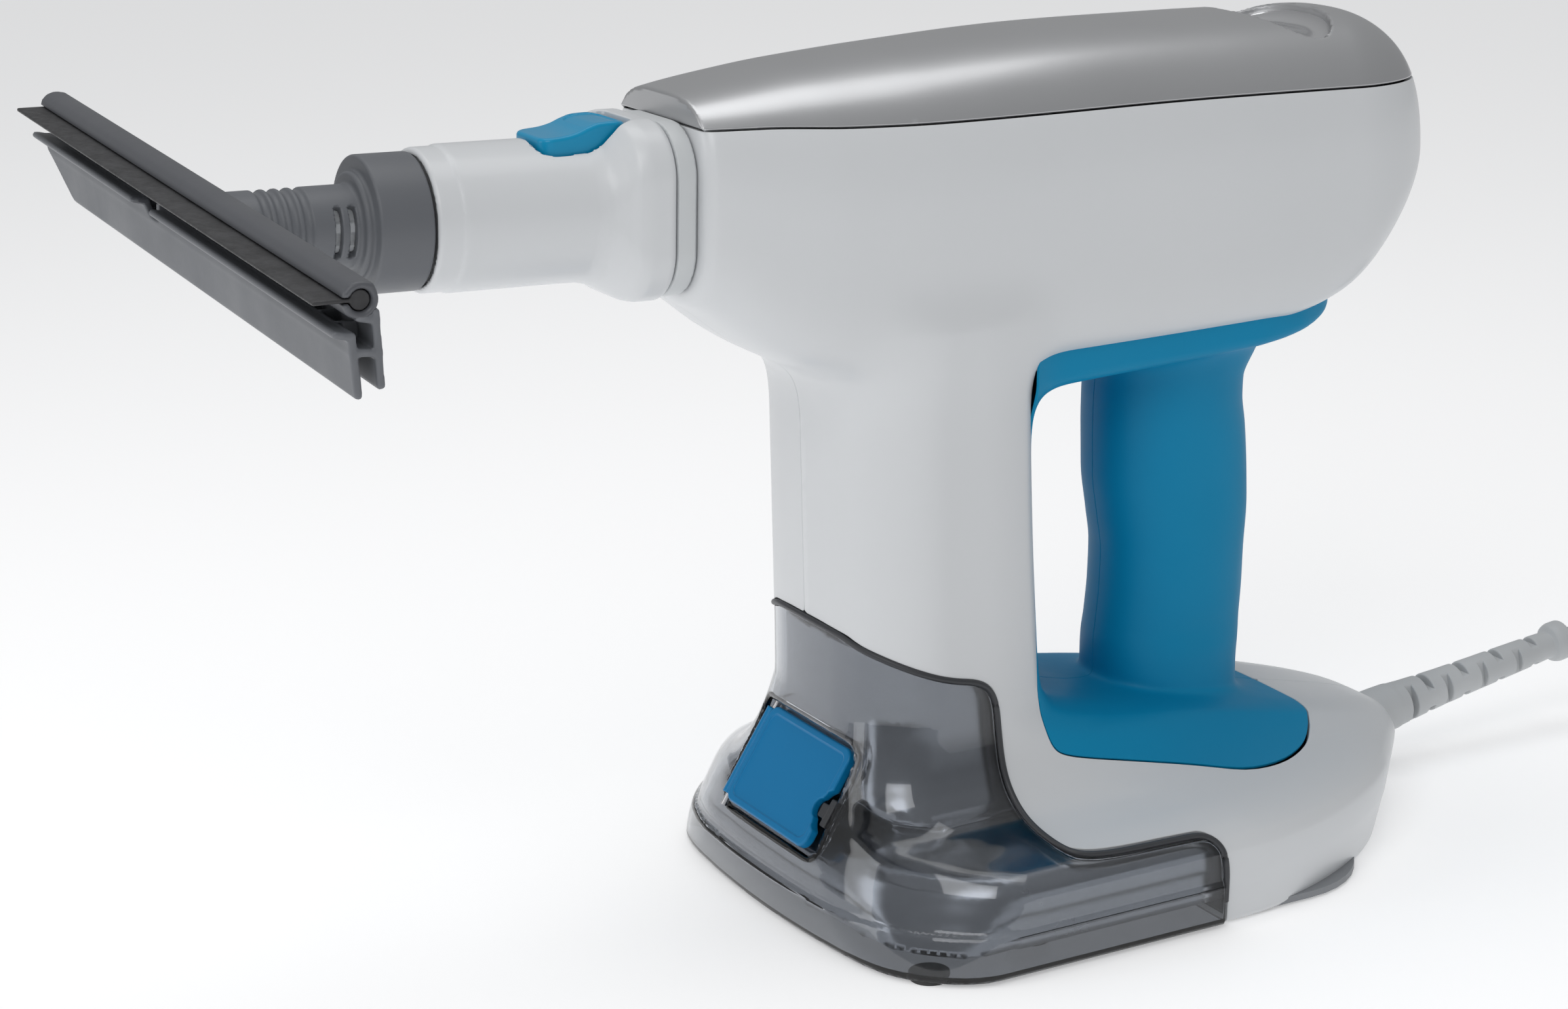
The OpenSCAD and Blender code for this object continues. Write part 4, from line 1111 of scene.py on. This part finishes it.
def relief_f(a, b, c):
    r = np.hypot(a, b)
    d = (r - R_R(c)) / 1.05
    d = rmax(d, np.maximum(-10 - c, c - 98), 1.0)
    for i in range(8):
        z0 = 17.3 + 9 * i
        q = b if i % 2 == 0 else a
        cut = np.maximum(np.abs(c - z0) - 1.45, 3.6 - np.abs(q))
        d = rmax(d, -cut, 0.6)
    return d


relief = solid("cord_relief", relief_f, (-11, -11, -12), (11, 11, 100), 0.6, CORD,
               "body", ("strain_relief",), world=RELIEF)


def plug_f(a, b, c):
    r = np.hypot(a, b)
    prof = PLUG_R(c)
    d = (r - prof) / 1.1
    flat = np.abs(a) - 15.5
    d = np.where(c > 20, rmax(d, flat, 2.5), d)
    d = rmax(d, np.maximum(-c, c - 56), 1.0)
    for i in range(4):
        z0 = 4.5 + 4.5 * i
        p = a if i % 2 else b
        d = rmax(d, -np.maximum(np.abs(c - z0) - 0.9, 2.5 - np.abs(p)), 0.4)
    return d


PLUG_R = hermite([0, 20, 24, 30, 36, 50, 56], [5.2, 7.2, 9.5, 15.5, 17.6, 18.2, 18.0])
PLUG = (PLUG_AT, np.array([[1, 0, 0], [0, 0, -1.0], [0, 1, 0]]))
plug = solid("mains_plug", plug_f, (-20, -20, -2), (20, 20, 58), 1.0, CORD, "body",
             ("plug_body",), world=PLUG)

# ------------------------------------------------------------------ stage, light
mesh = bpy.data.meshes.new("floor")
FLOOR = 6.0
mesh.from_pydata([(-FLOOR, -FLOOR, 0), (FLOOR, -FLOOR, 0), (FLOOR, FLOOR, 0), (-FLOOR, FLOOR, 0)], [],
                 [(0, 1, 2, 3)])
floor = bpy.data.objects.new("floor", mesh)
bpy.context.scene.collection.objects.link(floor)
fm = bpy.data.materials.new("floor")
fm.use_nodes = True
fm_in = fm.node_tree.nodes["Principled BSDF"].inputs
fm_in["Base Color"].default_value = (0.90, 0.90, 0.905, 1)
fm_in["Emission Color"].default_value = (1, 1, 1, 1)
fm_in["Emission Strength"].default_value = 0.32
fm_in["Roughness"].default_value = 0.75
mesh.materials.append(fm)

world = bpy.data.worlds.new("studio")
bpy.context.scene.world = world
world.use_nodes = True
wn, wl = world.node_tree.nodes, world.node_tree.links.new
w_coord = wn.new("ShaderNodeTexCoord")
w_split = wn.new("ShaderNodeSeparateXYZ")
w_ramp = wn.new("ShaderNodeValToRGB")
w_span = wn.new("ShaderNodeMapRange")
wl(w_coord.outputs["Generated"], w_split.inputs["Vector"])
wl(w_split.outputs["Z"], w_span.inputs["Value"])
w_span.inputs["From Min"].default_value = -0.2
w_span.inputs["From Max"].default_value = 1.0
wl(w_span.outputs["Result"], w_ramp.inputs["Fac"])
w_ramp.color_ramp.elements[0].color = (0.50, 0.505, 0.515, 1)
w_ramp.color_ramp.elements[1].color = (0.86, 0.87, 0.88, 1)
w_back = wn["Background"]
wl(w_ramp.outputs["Color"], w_back.inputs["Color"])
w_back.inputs["Strength"].default_value = 0.54
w_plain = wn.new("ShaderNodeBackground")
w_plain.inputs["Color"].default_value = (1, 1, 1, 1)
w_path = wn.new("ShaderNodeLightPath")
w_mix = wn.new("ShaderNodeMixShader")
wl(w_path.outputs["Is Camera Ray"], w_mix.inputs["Fac"])
wl(w_back.outputs["Background"], w_mix.inputs[1])
wl(w_plain.outputs["Background"], w_mix.inputs[2])
wl(w_mix.outputs["Shader"], wn["World Output"].inputs["Surface"])


def area(name, loc, look, size, power, color=(1, 1, 1)):
    ld = bpy.data.lights.new(name, "AREA")
    ld.shape = "RECTANGLE"
    ld.size, ld.size_y = size
    ld.energy = power
    ld.color = color
    o = bpy.data.objects.new(name, ld)
    o.location = loc
    o.rotation_euler = (Vector(look) - Vector(loc)).to_track_quat("-Z", "Y").to_euler()
    bpy.context.scene.collection.objects.link(o)
    return o


area("key", (-0.9, -0.9, 1.3), (0, 0, 0.15), (0.9, 0.9), 6.5)
area("top", (0.1, 0.2, 1.6), (0, 0, 0.15), (1.4, 0.8), 6)
area("front_card", (-1.4, 0.3, 0.5), (0, 0, 0.15), (0.5, 1.0), 3)
bpy.context.scene.view_settings.view_transform = "Standard"
bpy.context.scene.view_settings.look = "None"
bpy.context.scene.view_settings.exposure = 0.0
